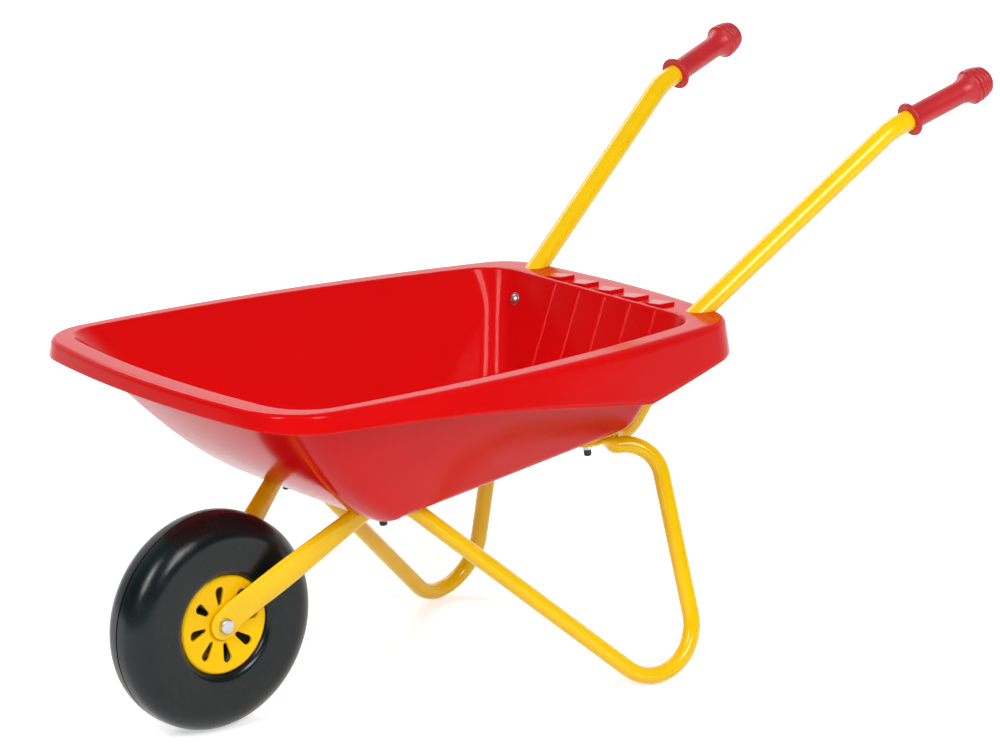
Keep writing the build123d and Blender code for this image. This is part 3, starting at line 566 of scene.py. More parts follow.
def tubWall(inset, floorRound, topShare):
    # rows from the middle of the floor, round the floor's edge, and up the wall to the top share
    levels = tubLevels(inset)
    base = levels[0]
    rise = (levels[tray.leanLevels] - base) / leanShare
    tall = rise[:, 2] + tray.floorSlope * rise[:, 0]
    out = outwardWay(base)
    lean = (rise * out).sum(axis=1) / tall
    tilt = np.arctan(lean)
    fromWall = lean * floorRound - floorRound / np.cos(tilt)
    turn = shares(tray.floorArcSteps)[:, None] * (math.pi / 2 - tilt)
    high = floorRound * (1.0 - np.cos(turn))
    inward = lean * high - (fromWall + floorRound * np.sin(turn))
    edge = atShare(levels, high / tall) - out * inward[..., None]
    middle = edge[0].mean(axis=0)
    floor = middle + np.array(tray.floorSpread)[:, None, None] * (edge[0] - middle)
    startShare = high[-1] / tall
    climb = shares(tray.wallRows)[1:, None]
    wall = atShare(levels, startShare + climb * (topShare - startShare))
    return np.concatenate([floor, edge, wall])


def innerShares(steps):  # even shares without both ends, to spread rows between two rows
    return shares(steps)[1:-1, None, None]


def trayRows():
    # one closed skin, each row an outline with the same columns: inside floor and wall, opening edge,
    # flange, rim edge, skirt and its lip, then up inside the skirt, under the flange and down the outside
    wall = tray.wall
    inner = tubLevels(wall)
    innerTop = inner[-1]
    out = outwardWay(innerTop)
    fall = (innerTop - inner[-1 - tray.leanLevels]) / leanShare
    tall = fall[:, 2] - rimSlope * fall[:, 0]
    lean = (fall * out).sum(axis=1) / tall
    tilt = np.arctan(lean)
    # opening edge: an arc between the inner wall and the flange
    radius = tray.openingRound
    centreOut = radius * np.hypot(1.0, lean) - lean * radius
    turn = np.linspace(1.0, 0.0, tray.openingSteps)[:, None] * (math.pi / 2 - tilt)
    drop = radius * (1.0 - np.cos(turn))
    opening = innerTop + out * (centreOut - radius * np.sin(turn))[..., None] - rimUp * drop[..., None]
    insideRows = tubWall(wall, tray.floorRound - wall, 1.0 - drop[0] / tall)[:-1]
    rimFlat = trapezium(
        tray.rimFront, tray.rimRear, (tray.rimFrontHalf, tray.rimRearHalf),
        (tray.rimFrontCorner, tray.rimRearCorner), tray.rimBows,
    )
    rim = np.column_stack([rimFlat, rimHeight(rimFlat[:, 0])])
    rimOut = outwardWay(rim)
    flare = math.radians(tray.skirtFlare)
    flareRun = math.tan(flare)

    def edgeArc(inset, edgeRound):
        # arc from a level face to the flared skirt, both set in by the same amount
        shift = inset * flareRun - inset
        centre = flareRun * edgeRound - edgeRound / math.cos(flare)
        angle = shares(tray.edgeSteps)[:, None] * (math.pi / 2 - flare)
        across = shift + centre + edgeRound * np.sin(angle)
        down = inset + edgeRound * (1.0 - np.cos(angle))
        return rim + rimOut * across[..., None] - rimUp * down[..., None]

    outerEdge = edgeArc(0.0, tray.rimEdgeRound)
    innerEdge = edgeArc(wall, tray.rimInnerRound)[::-1]
    flangeShare = innerShares(tray.flangeSteps)
    flange = opening[-1] + flangeShare * (outerEdge[0] - opening[-1])
    behind = (tray.skirtDeepX - rim[:, 0]) / (tray.skirtDeepX - tray.skirtRearX)
    ahead = np.polyval(skirtFit, np.maximum(rim[:, 0], tray.skirtDeepX))
    backwards = tray.skirtDeep + behind * (tray.skirtRear - tray.skirtDeep)
    depth = np.where(rim[:, 0] > tray.skirtDeepX, ahead, backwards)
    bottomOuter = rim + rimOut * (depth * flareRun)[:, None] - rimUp * depth[:, None]
    skirtShare = innerShares(tray.skirtSteps)
    skirtOut = outerEdge[-1] + skirtShare * (bottomOuter - outerEdge[-1])
    # bottom edge of the skirt: half a turn from the outer face to the inner one
    lip = np.linspace(0.0, math.pi, tray.lipSteps)[:, None, None]
    lipMiddle = bottomOuter - rimOut * (wall / 2)
    lipDown = rimUp * (wall / 2) * tray.skirtLipFlat
    bottom = lipMiddle + rimOut * (wall / 2) * np.cos(lip) - lipDown * np.sin(lip)
    skirtIn = bottom[-1] + skirtShare * (innerEdge[0] - bottom[-1])
    outerTop = tubLevels(0.0)[-1, :, 0]
    underShare = 1.0 - wall / (rimHeight(outerTop) - floorHeight(outerTop))
    outsideRows = tubWall(0.0, tray.floorRound, underShare)[::-1]
    underFlange = innerEdge[-1] + flangeShare * (outsideRows[0] - innerEdge[-1])
    parts = [
        insideRows, opening, flange, outerEdge, skirtOut, bottom, skirtIn, innerEdge,
        underFlange, outsideRows,
    ]
    return np.concatenate(parts)


def panelEdges():
    return tray.panelFirst + np.arange(tray.panelCount) * tray.panelSpacing


def trayPanels():
    # saw-tooth panels on the rear wall's inside: a low wedge across, carried down the wall
    wallDown = np.array([wallInward[2], 0.0, -wallInward[0]])
    origin = np.array([rearWall(tray.rimRearZ), 0.0, tray.rimRearZ])
    origin = origin + wallInward * tray.wall + wallDown * tray.panelTop
    # the step is a smooth ramp: height = step * ease(share), share from 0 at its foot to 1 at its top
    wide = tray.panelSpacing
    share = shares(tray.rampSteps)
    step = tray.panelStep * (1.0 - tray.panelRamp / wide)
    ramp = np.column_stack([(0.5 - share) * tray.panelRamp, step * ease(share)])
    root = -tray.panelRoot
    section = np.array([(-wide, tray.panelThin), (-wide, root), (tray.panelRamp / 2, root), *ramp])
    panels = []
    for edge in panelEdges():
        start = origin + leftWay * edge
        panels.append(prism(section, start, leftWay, wallInward, wallDown, tray.panelLength))
    return panels


def trayPads():
    # wedge steps on the rear flange: a right triangle carried along the flange
    wide = tray.padWidth
    corners = [(0.0, -tray.padRoot), (wide, -tray.padRoot), (wide, tray.padHeight)]
    section = roundedLoop(corners, tray.padRounds, tray.padSideSteps, tray.padCornerSteps)
    pads = []
    for edge in panelEdges():
        start = np.array([tray.padX, edge - wide, rimHeight(tray.padX)])
        pads.append(prism(section, start, leftWay, rimUp, -rimAhead, tray.padDepth))
    return pads


# bent tubes

tubeValues = {
    "seatGap": 0.05, "handleRadius": 10.0, "legRadius": 8.0,
    "handleAtRim": (-129.9, 117.9, 336.0), "handleWay": (-0.7751, 0.1689, 0.6089), "handleRun": 257.4,
    "gripWay": (-0.937, 0.12, 0.329), "gripFromBend": 22.0, "tubeInGrip": 94.0,
    "lowY": 79.0, "flatFrom": -60.0, "flatTo": -45.0, "handleBends": [18.0, 40.0, 60.0],
    "handleTab": (28.0, 5.0), "boltX": -21.0, "boltY": 82.0,
    "apex": (206.0, 75.6), "apexRise": 14.0, "foot": (-99.0, 186.0, -55.33), "top": (-77.0, 113.0),
    "legBends": [44.0, 46.6, 36.0], "legTab": (23.0, 4.0), "legFlatFrom": 28.0, "legFlatTo": 12.0,
    "axle": (348.0, 0.0, 100.0), "axleTab": (27.0, 3.0), "axleFlatFrom": 13.0, "axleFlatTo": 55.0,
    "armOval": (28.0, 8.5), "armOvalRun": 150.0, "axleTabY": 21.05, "runDrop": 2.0,
    "tabBend": 8.0, "axleTabBend": 14.0, "tabPower": 6.0, "roundPower": 2.0, "powerRate": 1.6,
    "saddleWall": 3.0, "saddleReach": 36.0,
    "bossRadius": 7.7, "bossDepth": 4.0, "bossRounds": [0.1, 0.8],
    "ringCount": 40, "spacing": 2.5, "spotDigits": 3,
    "tipSteps": 14, "handleBendSteps": 16, "legBendSteps": 20,
    "saddleSteps": (24, 25), "bossSteps": (6, 48),
}
tube = SimpleNamespace(**tubeValues)
seatGap = tube.seatGap


def floorPoint(x, y, below):
    return np.array([x, y, floorHeight(x)]) - floorUp * below


def signedPower(wave, power):
    return np.sign(wave) * np.abs(wave) ** power


def bentTube(path, sizes, tips):
    # rings of a superellipse, across |cos|^(2/p) and other |sin|^(2/p), carried along the path;
    # sizes is a function of the distance along it that gives half across, half other and p
    steps = np.linalg.norm(np.diff(path, axis=0), axis=1)
    along = np.concatenate([[0.0], np.cumsum(steps)])
    total = along[-1]
    spots = [np.linspace(0.0, total, int(total / tube.spacing))]
    quarter = 1.0 - np.cos(np.linspace(0.0, math.pi / 2, tube.tipSteps))
    startTip, endTip = tips
    if startTip:
        spots.append(quarter * startTip)
    if endTip:
        spots.append(total - quarter * endTip)
    distance = np.unique(np.round(np.concatenate(spots), tube.spotDigits))
    spine = np.stack([np.interp(distance, along, path[:, axis]) for axis in range(3)], axis=1)
    tangent = unit(np.gradient(spine, distance, axis=0))
    across = unit(leftWay - (tangent @ leftWay)[:, None] * tangent)
    other = np.cross(tangent, across)
    halfAcross, halfOther, power = sizes(distance, total)
    angle = fullTurn(tube.ringCount)
    bend = (2.0 / power)[:, None]
    c = signedPower(np.cos(angle), bend)
    s = signedPower(np.sin(angle), bend)
    rings = spine[:, None] + across[:, None] * (halfAcross[:, None] * c)[..., None]
    rings = rings + other[:, None] * (halfOther[:, None] * s)[..., None]
    return closedEnds(rings)


def tipWidth(fromTip, half):  # a round end: the half width of a circle that starts at the tip
    inside = np.clip(half - fromTip, 0.0, half)
    return np.sqrt(np.maximum(half ** 2 - inside ** 2, 0.0))


def tabPower(share):  # superellipse power, from a flat tab to a round tube
    return tube.tabPower + ease(share * tube.powerRate) * (tube.roundPower - tube.tabPower)


def squeezed(fromTip, radius, tab, flatRun, roundRun):
    # from a flat tab to a round tube: half width, half thickness and superellipse power
    share = ease((fromTip - flatRun) / (roundRun - flatRun))
    width = tab[0] / 2 + share * (radius - tab[0] / 2)
    thick = tab[1] / 2 + share * (radius - tab[1] / 2)
    return np.minimum(width, tipWidth(fromTip, tab[0] / 2) + share * radius), thick, tabPower(share)


handleLine = unit(np.array(tube.handleWay))
rimPoint = np.array(tube.handleAtRim)
wallClear = tube.handleRadius + seatGap
wallOffset = wallClear * math.hypot(1.0, tray.rearLean)
# handle line meets the line that runs down the rear wall: x of one equals x of the other
leanPerRun = tray.rearLean * handleLine[2]
cornerRun = (rearWall(rimPoint[2]) - wallOffset - rimPoint[0]) / (-handleLine[0] - leanPerRun)
handleCorner = rimPoint - handleLine * cornerRun
lowDrop = wallClear * math.hypot(1.0, tray.floorSlope)
lowX = rearWall(floorHeight(0.0) - lowDrop) - wallOffset
lowX = lowX / (1.0 - tray.rearLean * tray.floorSlope)
handleLow = np.array([lowX, tube.lowY, floorHeight(lowX) - lowDrop])
gripLine = unit(np.array(tube.gripWay))
gripCorner = rimPoint + handleLine * tube.handleRun
gripStart = gripCorner + gripLine * tube.gripFromBend
handleEnd = gripStart + gripLine * tube.tubeInGrip
handleTabMiddle = tube.handleTab[1] / 2 + seatGap
handleBolt = floorPoint(tube.boltX, tube.boltY, handleTabMiddle)
handleTip = handleBolt + floorAhead * tube.handleTab[0] / 2
handleRoute = [
    handleTip,
    floorPoint(tube.flatTo, tube.boltY, handleTabMiddle),
    floorPoint(tube.flatFrom, tube.lowY, wallClear),
    handleLow, handleCorner, gripCorner, handleEnd,
]
handleBends = [tube.tabBend, tube.tabBend, *tube.handleBends]


def handleSizes(distance, total):
    flatRun = tube.flatFrom - tube.flatTo
    tabRun = tube.handleTab[0] / 2 + tube.boltX - tube.flatTo
    return squeezed(distance, tube.handleRadius, tube.handleTab, tabRun, tabRun - flatRun)


for name, side in sides.items():
    path = mirrorTo(roundedPath(handleRoute, handleBends, tube.handleBendSteps), side)
    rings = bentTube(path, handleSizes, (tube.handleTab[0] / 2, 0.0))
    makePiece(name + "HandleTube", [rings], "tube_paint", [name + "_handle_tube"])
print("handle tubes made")

handleTabBelow = tube.handleTab[1] + 2 * seatGap
legRunBelow = handleTabBelow + tube.legRadius + tube.runDrop
legTabMiddle = handleTabBelow + tube.legTab[1] / 2
legTop = floorPoint(*tube.top, legRunBelow)
legBolt = floorPoint(tube.boltX, tube.boltY, legTabMiddle)
legRunEnd = floorPoint(tube.boltX, tube.boltY, legRunBelow)
legRunLine = unit(legRunEnd - legTop)
axlePoint = np.array(tube.axle)
footPoint = np.array(tube.foot)
apex = np.array([*tube.apex, floorHeight(tube.apex[0]) + tube.apexRise])
armFlat = unit((apex - axlePoint) * np.array([1.0, 0.0, 1.0]))
tabEnd = axlePoint + armFlat * tube.axleFlatFrom + leftWay * tube.axleTabY
armLine = unit(apex - tabEnd)
strutLine = unit(footPoint - apex)
apexBend = tube.legBends[0]
halfBend = math.acos(-armLine @ strutLine) / 2
bendCentre = apex + unit(strutLine - armLine) * apexBend / math.sin(halfBend)
bendNormal = unit(np.cross(armLine, strutLine))
bendUp = unit(floorUp - bendNormal * (floorUp @ bendNormal))
bendTop = bendCentre + bendUp * apexBend
frontSeat = bendTop + floorUp * (tube.legRadius + seatGap)
axleTip = axlePoint + leftWay * tube.axleTabY - armFlat * tube.axleTab[0] / 2
legTip = legBolt + legRunLine * tube.legTab[0] / 2
legRoute = [
    axleTip, tabEnd, apex, footPoint, legTop,
    legRunEnd - legRunLine * tube.legFlatFrom,
    legBolt - legRunLine * tube.legFlatTo,
    legTip,
]
legBends = [tube.axleTabBend, *tube.legBends, tube.tabBend, tube.tabBend]


def armSizes(fromTip):
    # from the axle's flat tab to an oval, and from the oval to the round tube
    tab, oval, radius = tube.axleTab, tube.armOval, tube.legRadius
    flatRun = tab[0] / 2 + tube.axleFlatFrom
    ovalRun = tab[0] / 2 + tube.axleFlatTo
    toOval = ease((fromTip - flatRun) / (ovalRun - flatRun))
    toRound = ease((fromTip - ovalRun) / tube.armOvalRun)
    width = tab[0] / 2 + toOval * (oval[0] - tab[0]) / 2 + toRound * (radius - oval[0] / 2)
    thick = tab[1] / 2 + toOval * (oval[1] - tab[1]) / 2 + toRound * (radius - oval[1] / 2)
    return np.minimum(width, tipWidth(fromTip, tab[0] / 2) + toOval * radius), thick, tabPower(toOval)


def legSizes(distance, total):
    # the axle's tab is thin along y, the rear tab is thin along the floor's normal
    frontWidth, frontThick, frontPower = armSizes(distance)
    rearFlat = tube.legTab[0] / 2 + tube.legFlatTo
    rearRound = tube.legTab[0] / 2 + tube.legFlatFrom
    fromEnd = total - distance
    rearWidth, rearThick, rearPower = squeezed(fromEnd, tube.legRadius, tube.legTab, rearFlat, rearRound)
    front = distance < total / 2
    halfAcross = np.where(front, frontThick, rearWidth)
    halfOther = np.where(front, frontWidth, rearThick)
    return halfAcross, halfOther, np.where(front, frontPower, rearPower)


for name, side in sides.items():
    path = mirrorTo(roundedPath(legRoute, legBends, tube.legBendSteps), side)
    tips = (tube.axleTab[0] / 2, tube.legTab[0] / 2)
    rings = bentTube(path, legSizes, tips)
    makePiece(name + "UndercarriageTube", [rings], "tube_paint", [name + "_undercarriage_tube"])
print("undercarriage tubes made")


def saddleHump(side):
    # half a tube over the front bend, its lower part pressed flat inside the floor's wall
    reach = tube.saddleReach
    bendSteps, ringSteps = tube.saddleSteps
    route = [apex - armLine * reach, apex, apex + strutLine * reach]
    path = mirrorTo(roundedPath(route, [apexBend], bendSteps), side)
    tangent = unit(np.gradient(path, axis=0))
    up = unit(floorUp - (tangent @ floorUp)[:, None] * tangent)
    across = np.cross(tangent, up)
    angle = np.linspace(-math.pi / 2, math.pi / 2, ringSteps)
    radius = tube.legRadius + seatGap + tube.saddleWall
    ring = np.sin(angle)[:, None] * across[:, None] + np.cos(angle)[:, None] * up[:, None]
    points = path[:, None] + radius * ring
    above = (points - floorPoint(0.0, 0.0, 0.0)) @ floorUp
    lift = np.maximum(tray.wall / 2 - above, 0.0)
    return closedEnds(points + lift[..., None] * floorUp)


def saddleBoss(side):
    # a short round boss on the hump, under the front bolt's washer
    top, low, wide = tray.wall, -tube.bossDepth, tube.bossRadius
    arcSteps, turnSteps = tube.bossSteps
    profile = roundedPath([(0.0, low), (wide, low), (wide, top), (0.0, top)], tube.bossRounds, arcSteps)
    return lathe(profile, mirrorTo(frontSeat, side), floorUp, turnSteps)


trayGrids = [trayRows(), *trayPanels(), *trayPads()]
for saddlePart in (saddleHump, saddleBoss):
    trayGrids += [saddlePart(side) for side in sides.values()]
makePiece("trayShell", trayGrids, "tray", ["tray"], sharpAngle=tray.sharpAngle)
print("tray made")


# grips

gripValues = {
    "length": 103.3, "boreDepth": 95.0, "bore": 10.05,
    "flange": 16.5, "flangeThick": 4.5, "barrel": 11.2, "end": 17.5,
    "edgeRounds": [0.0, 0.5, 1.8, 1.8, 2.0], "sharpAngle": 48.0,
    "coneStart": 63.0, "coneSag": 0.9, "ringStart": 76.0,
    "ringCount": 4, "ringPitch": 5.4, "ringDepth": 2.0, "ringFall": 0.35, "endBevel": 1.0,
    "edgeSteps": 8, "coneSteps": 14, "ringSteps": 13, "domeSteps": 12, "turnSteps": 72,
}
grip = SimpleNamespace(**gripValues)


def gripProfile():
    # bore, flange, barrel, hollow cone, a row of rings that get smaller and a domed end
    coneLow = (grip.barrel, grip.coneStart)
    low = (grip.end - grip.ringDepth, grip.ringStart)
    coneMiddle = ((grip.barrel + low[0]) / 2 - grip.coneSag, (grip.coneStart + grip.ringStart) / 2)
    corners = [
        (0.0, grip.boreDepth), (grip.bore, grip.boreDepth), (grip.bore, 0.0),
        (grip.flange, 0.0), (grip.flange, grip.flangeThick), (grip.barrel, grip.flangeThick), coneLow,
    ]
    parts = [roundedPath(corners, grip.edgeRounds, grip.edgeSteps)]
    parts.append(threePointArc(coneLow, coneMiddle, low, grip.coneSteps)[1:])
    for index in range(grip.ringCount):
        crest = grip.end - grip.ringFall * index ** 2
        start = grip.ringStart + index * grip.ringPitch
        high = (crest - grip.ringDepth, start + grip.ringPitch)
        parts.append(threePointArc(low, (crest, start + grip.ringPitch / 2), high, grip.ringSteps)[1:])
        low = high
    edge = (low[0] - grip.endBevel, low[1] + grip.endBevel)
    return np.concatenate([*parts, domeCurve(edge, grip.length, grip.domeSteps)[::-1]])


for name, side in sides.items():
    turned = lathe(gripProfile(), mirrorTo(gripStart, side), mirrorTo(gripLine, side), grip.turnSteps)
    makePiece(name + "Grip", [turned], "grip", [name + "_grip"], sharpAngle=grip.sharpAngle)
print("grips made")


# bolts, washers, nuts and caps

fastenerValues = {
    "boltRadius": 2.5, "headRadius": 4.8, "headHeight": 2.8, "headEdge": 0.7, "tailBevel": 0.4,
    "washerRadius": 6.5, "washerThick": 1.0, "ringEdge": 0.25, "hole": 2.75, "nutHole": 2.55,
    "nutAcross": 8.0, "nutHeight": 5.0, "nutCut": 0.98, "nutBevel": 0.55, "nutSharpAngle": 24.0,
    "capRadius": 3.7, "capHeight": 6.5, "capWall": 1.0, "capRounds": [0.3, 0.3, 0.4, 1.5],
    "capEndGap": 1.2, "wallBoltZ": 306.0, "frontSlack": 0.25,
    "turnSteps": 40, "nutSteps": 72, "domeSteps": 9, "ringEdgeSteps": 4, "capSteps": 7,
}
fastener = SimpleNamespace(**fastenerValues)


def domedBolt(length):
    # (radius, height): a ball's cap over the head's edge, then the shank down to a bevelled end
    head = (fastener.headRadius, fastener.headEdge)
    dome = domeCurve(head, fastener.headHeight, fastener.domeSteps)
    shank, bevel = fastener.boltRadius, fastener.tailBevel
    tail = [
        (fastener.headRadius, 0.0), (shank, 0.0), (shank, bevel - length), (shank - bevel, -length),
        (0.0, -length),
    ]
    return np.concatenate([dome, tail])


def flatRing(outer, inner, low, high, edge):
    # (radius, height): a rectangle with rounded corners, walked round from the middle of the bore
    middle = (inner, (low + high) / 2)
    corners = [middle, (inner, low), (outer, low), (outer, high), (inner, high), middle]
    return roundedPath(corners, [edge] * 4, fastener.ringEdgeSteps)


def hexNut(across, hole, height, origin, axis):
    # a prism whose radius follows the hexagon, cut back at both ends by a cone
    axis, acrossWay, other = axisFrame(axis)
    angle = fullTurn(fastener.nutSteps)
    flat = across / 2
    hexRadius = flat / np.cos((angle + math.pi / 6) % (math.pi / 3) - math.pi / 6)
    cut = flat * fastener.nutCut
    bevel = (hexRadius - cut) * fastener.nutBevel
    rows = [
        (hole, height / 2), (hole, 0.0), (cut, 0.0), (hexRadius, bevel),
        (hexRadius, height - bevel), (cut, height), (hole, height), (hole, height / 2),
    ]
    ring = np.cos(angle)[:, None] * acrossWay + np.sin(angle)[:, None] * other
    zero = np.zeros_like(angle)
    rings = []
    for radius, high in rows:
        rings.append(np.array(origin) + (zero + radius)[:, None] * ring + (zero + high)[:, None] * axis)
    return np.stack(rings)


def endCap():
    # (radius, height): from the blind bore's end down its wall, round the foot and up to a rounded top
    deep = fastener.capHeight - fastener.capWall
    corners = [
        (0.0, deep), (fastener.hole, deep), (fastener.hole, 0.0), (fastener.capRadius, 0.0),
        (fastener.capRadius, fastener.capHeight), (0.0, fastener.capHeight),
    ]
    return roundedPath(corners, fastener.capRounds, fastener.capSteps)


innerFloor = tray.wall + seatGap
headSeat = innerFloor + fastener.washerThick + seatGap
handleDown = unit(handleLow - handleCorner)
wallSeat = handleCorner + handleDown * ((fastener.wallBoltZ - handleCorner[2]) / handleDown[2])
rearSeat = np.array([tube.boltX, tube.boltY, floorHeight(tube.boltX)])
frontStack = 2 * tube.legRadius + seatGap + fastener.frontSlack
rearStack = handleTabBelow + tube.legTab[1] + seatGap
# each group: how its nodes' names begin, the seat, the way up, and the stacks above and below the seat
boltGroups = {
    "frontFloor": ("front_floor", frontSeat, floorUp, 0.0, frontStack),
    "rearFloor": ("rear_floor", rearSeat, floorUp, 0.0, rearStack),
    "rearWall": ("rear_wall", wallSeat, wallInward, wallClear, wallClear),
}
boltTail = fastener.nutHeight + fastener.capHeight - fastener.capWall - fastener.capEndGap
washer = flatRing(fastener.washerRadius, fastener.hole, 0.0, fastener.washerThick, fastener.ringEdge)
for label, (node, seat, up, face, stack) in boltGroups.items():
    bolt = domedBolt(headSeat + face + stack + boltTail)
    bolts, washers, nuts, caps = [], [], [], []
    for side in sides.values():
        spot = mirrorTo(seat, side)
        nutSeat = spot - up * stack
        capSeat = nutSeat - up * (fastener.nutHeight + seatGap)
        bolts.append(lathe(bolt, spot + up * (face + headSeat), up, fastener.turnSteps))
        washers.append(lathe(washer, spot + up * (face + innerFloor), up, fastener.turnSteps))
        nuts.append(hexNut(fastener.nutAcross, fastener.nutHole, fastener.nutHeight, nutSeat, -up))
        caps.append(lathe(endCap(), capSeat, -up, fastener.turnSteps))
    makePiece(label + "Bolts", bolts, "steel", [node + "_bolts"])
    makePiece(label + "Washers", washers, "steel", [node + "_washers"])
    makePiece(label + "Nuts", nuts, "steel", [node + "_nuts"], sharpAngle=fastener.nutSharpAngle)
    makePiece(label + "NutCaps", caps, "cap", [node + "_nut_caps"])
print("fasteners made")


# axle

axleValues = {
    "radius": 4.0, "hole": 4.25, "headRadius": 6.8, "headHeight": 5.3,
    "boltRounds": [0.6, 0.0, 0.3, 1.6],
    "nutAcross": 13.0, "nutHole": 4.05, "nutHeight": 6.5, "threadOut": 3.0,
    "washerRadius": 9.0, "washerThick": 1.2, "washerFace": 18.3, "tabOuter": 22.6,
    "turnSteps": 56, "edgeSteps": 8,
}
axle = SimpleNamespace(**axleValues)
shankEnd = axle.tabOuter + axle.nutHeight + axle.threadOut
headEnd = axle.tabOuter + axle.headHeight
axleCorners = [
    (0.0, -shankEnd), (axle.radius, -shankEnd), (axle.radius, axle.tabOuter),
    (axle.headRadius, axle.tabOuter), (axle.headRadius, headEnd), (0.0, headEnd),
]
axleProfile = roundedPath(axleCorners, axle.boltRounds, axle.edgeSteps)
makePiece("axleBolt", [lathe(axleProfile, axlePoint, leftWay, axle.turnSteps)], "steel", ["axle_bolt"])
nutSeat = axlePoint - leftWay * axle.tabOuter
axleNut = hexNut(axle.nutAcross, axle.nutHole, axle.nutHeight, nutSeat, -leftWay)
makePiece("axleNut", [axleNut], "steel", ["axle_nut"], sharpAngle=fastener.nutSharpAngle)
washer = flatRing(axle.washerRadius, axle.hole, 0.0, axle.washerThick, fastener.ringEdge)
axleWashers = []
for side in sides.values():
    outWay = leftWay * side
    axleWashers.append(lathe(washer, axlePoint + outWay * axle.washerFace, outWay, axle.turnSteps))
makePiece("axleWashers", axleWashers, "steel", ["axle_washers"])
print("axle made")


# wheel

wheelValues = {
    "sleeveRadius": 8.0, "sleeveBore": 4.05, "sleeveHalf": 18.0, "sleeveEdge": 0.4,
    "discRadius": 45.4, "edgeFace": 22.0, "hubFace": 17.6, "hubRadius": 12.5, "rimWall": 3.0,
    "hubBevel": 2.5, "hubRise": 0.6, "hubRounds": [0.5, 2.0], "barrelStep": 0.8,
    "lipBand": 7.0, "lipRise": 0.3, "lipInner": 18.4, "lipRound": 4.0, "lipMiddle": 0.9, "lipDrop": 2.6,
    "slotCount": 8, "slotInner": 18.0, "slotOuter": 36.5, "slotInnerWidth": 4.6, "slotOuterWidth": 9.0,
    "slotStart": 37.3, "slotEdge": 0.5, "slotSteps": 96, "slotEdgeSteps": 5,
    "frontShares": (1.0, 0.66, 0.33, 0.0), "backShares": (0.0, 0.5, 1.0), "hubSteps": 6, "lipSteps": 10,
    "tyreRadius": 100.0, "tyreHalf": 27.0, "beadRadius": 46.0, "crownHalf": 10.0,
    "beadDrop": 1.5, "beadMiddle": (2.2, 1.6), "beadEnd": (6.0, 3.4),
    "widestRadius": 79.0, "sidewall": (65.0, 26.5), "shoulder": (92.0, 21.5),
    "crownDrop": 0.9, "crownMiddle": 0.3, "grooveHalf": 1.0, "grooveDepth": 1.4,
    "grooveLip": (0.5, 0.25), "grooveIn": 0.4, "tyreSharpAngle": 50.0, "tyreSteps": 180,
    "tyreArcSteps": {"bead": 10, "sidewall": 16, "shoulder": 20, "crown": 12},
}
wheel = SimpleNamespace(**wheelValues)
sleeve = flatRing(
    wheel.sleeveRadius, wheel.sleeveBore, -wheel.sleeveHalf, wheel.sleeveHalf, wheel.sleeveEdge,
)
sleeveRing = lathe(sleeve, axlePoint, leftWay, axle.turnSteps)
makePiece("hubSleeve", [sleeveRing], "steel", ["hub_sleeve"], "wheel")

bevelRadius = wheel.hubRadius + wheel.hubBevel
lipRadius = wheel.discRadius - wheel.lipBand
bevelFace = wheel.hubFace + wheel.hubRise
lipFace = wheel.edgeFace - wheel.lipRise
barrel = wheel.discRadius - wheel.barrelStep
sector = 2 * math.pi / wheel.slotCount
spread = np.linspace(-math.pi, math.pi, wheel.slotSteps, endpoint=False)
edgeShare = np.tan(np.linspace(-math.pi / 4, math.pi / 4, wheel.slotSteps // 4 + 1))[:-1]
spokeAngles = math.radians(wheel.slotStart) + np.arange(wheel.slotCount) * sector
discAngles = (spokeAngles[:, None] + edgeShare[None] * sector / 2).ravel()


def discGrid(profile, side):
    # profile (radius, height) turned about the axle; angles count from +x towards +z
    profile = np.array(profile, float)
    ring = np.cos(discAngles)[:, None] * aheadWay + np.sin(discAngles)[:, None] * skyWay
    return axlePoint + profile[:, None, 1:2] * leftWay * side + profile[:, None, 0:1] * ring[None]


def slotSector(middle, side):
    # rows between a slot's outline and the edge of its sector, on the front and on the back face;
    # the outline is a small and a large circle joined by their tangents
    small = wheel.slotInnerWidth / 2
    large = wheel.slotOuterWidth / 2
    smallAt = wheel.slotInner + small
    largeAt = wheel.slotOuter - large
    onLarge = np.cos(spread) > (small - large) / (largeAt - smallAt)
    centre = np.where(onLarge, largeAt, smallAt)
    radius = np.where(onLarge, large, small)
    far = 1.0 / np.maximum(np.abs(np.cos(spread)), np.abs(np.sin(spread)))
    squareR = (bevelRadius + lipRadius) / 2 + np.cos(spread) * far * (lipRadius - bevelRadius) / 2
    squareA = np.sin(spread) * far * sector / 2
    outer = np.column_stack([squareR * np.cos(squareA), squareR * np.sin(squareA)])

    def slotLine(grow):
        grown = radius + grow
        return np.column_stack([centre + grown * np.cos(spread), grown * np.sin(spread)])

    def faceHeight(flat, below):
        reach = (np.linalg.norm(flat, axis=-1) - bevelRadius) / (lipRadius - bevelRadius)
        return bevelFace + reach * (lipFace - bevelFace) - below

    edge = wheel.slotEdge
    rows = []
    for share in wheel.frontShares:
        flat = slotLine(edge) * (1.0 - share) + outer * share
        rows.append((flat, faceHeight(flat, 0.0)))
    for bend in np.linspace(0.0, math.pi / 2, wheel.slotEdgeSteps)[1:]:
        flat = slotLine(edge * (1.0 - math.sin(bend)))
        rows.append((flat, faceHeight(flat, edge * (1.0 - math.cos(bend)))))
    for share in wheel.backShares:
        flat = slotLine(0.0) * (1.0 - share) + outer * share
        rows.append((flat, faceHeight(flat, wheel.rimWall)))
    spoke = np.array([math.cos(middle), 0.0, math.sin(middle)])
    roundWay = np.array([-math.sin(middle), 0.0, math.cos(middle)])
    stacked = []
    for flat, high in rows:
        inPlane = axlePoint + flat[:, 0:1] * spoke + flat[:, 1:2] * roundWay
        stacked.append(inPlane + high[:, None] * leftWay * side)
    return np.stack(stacked)


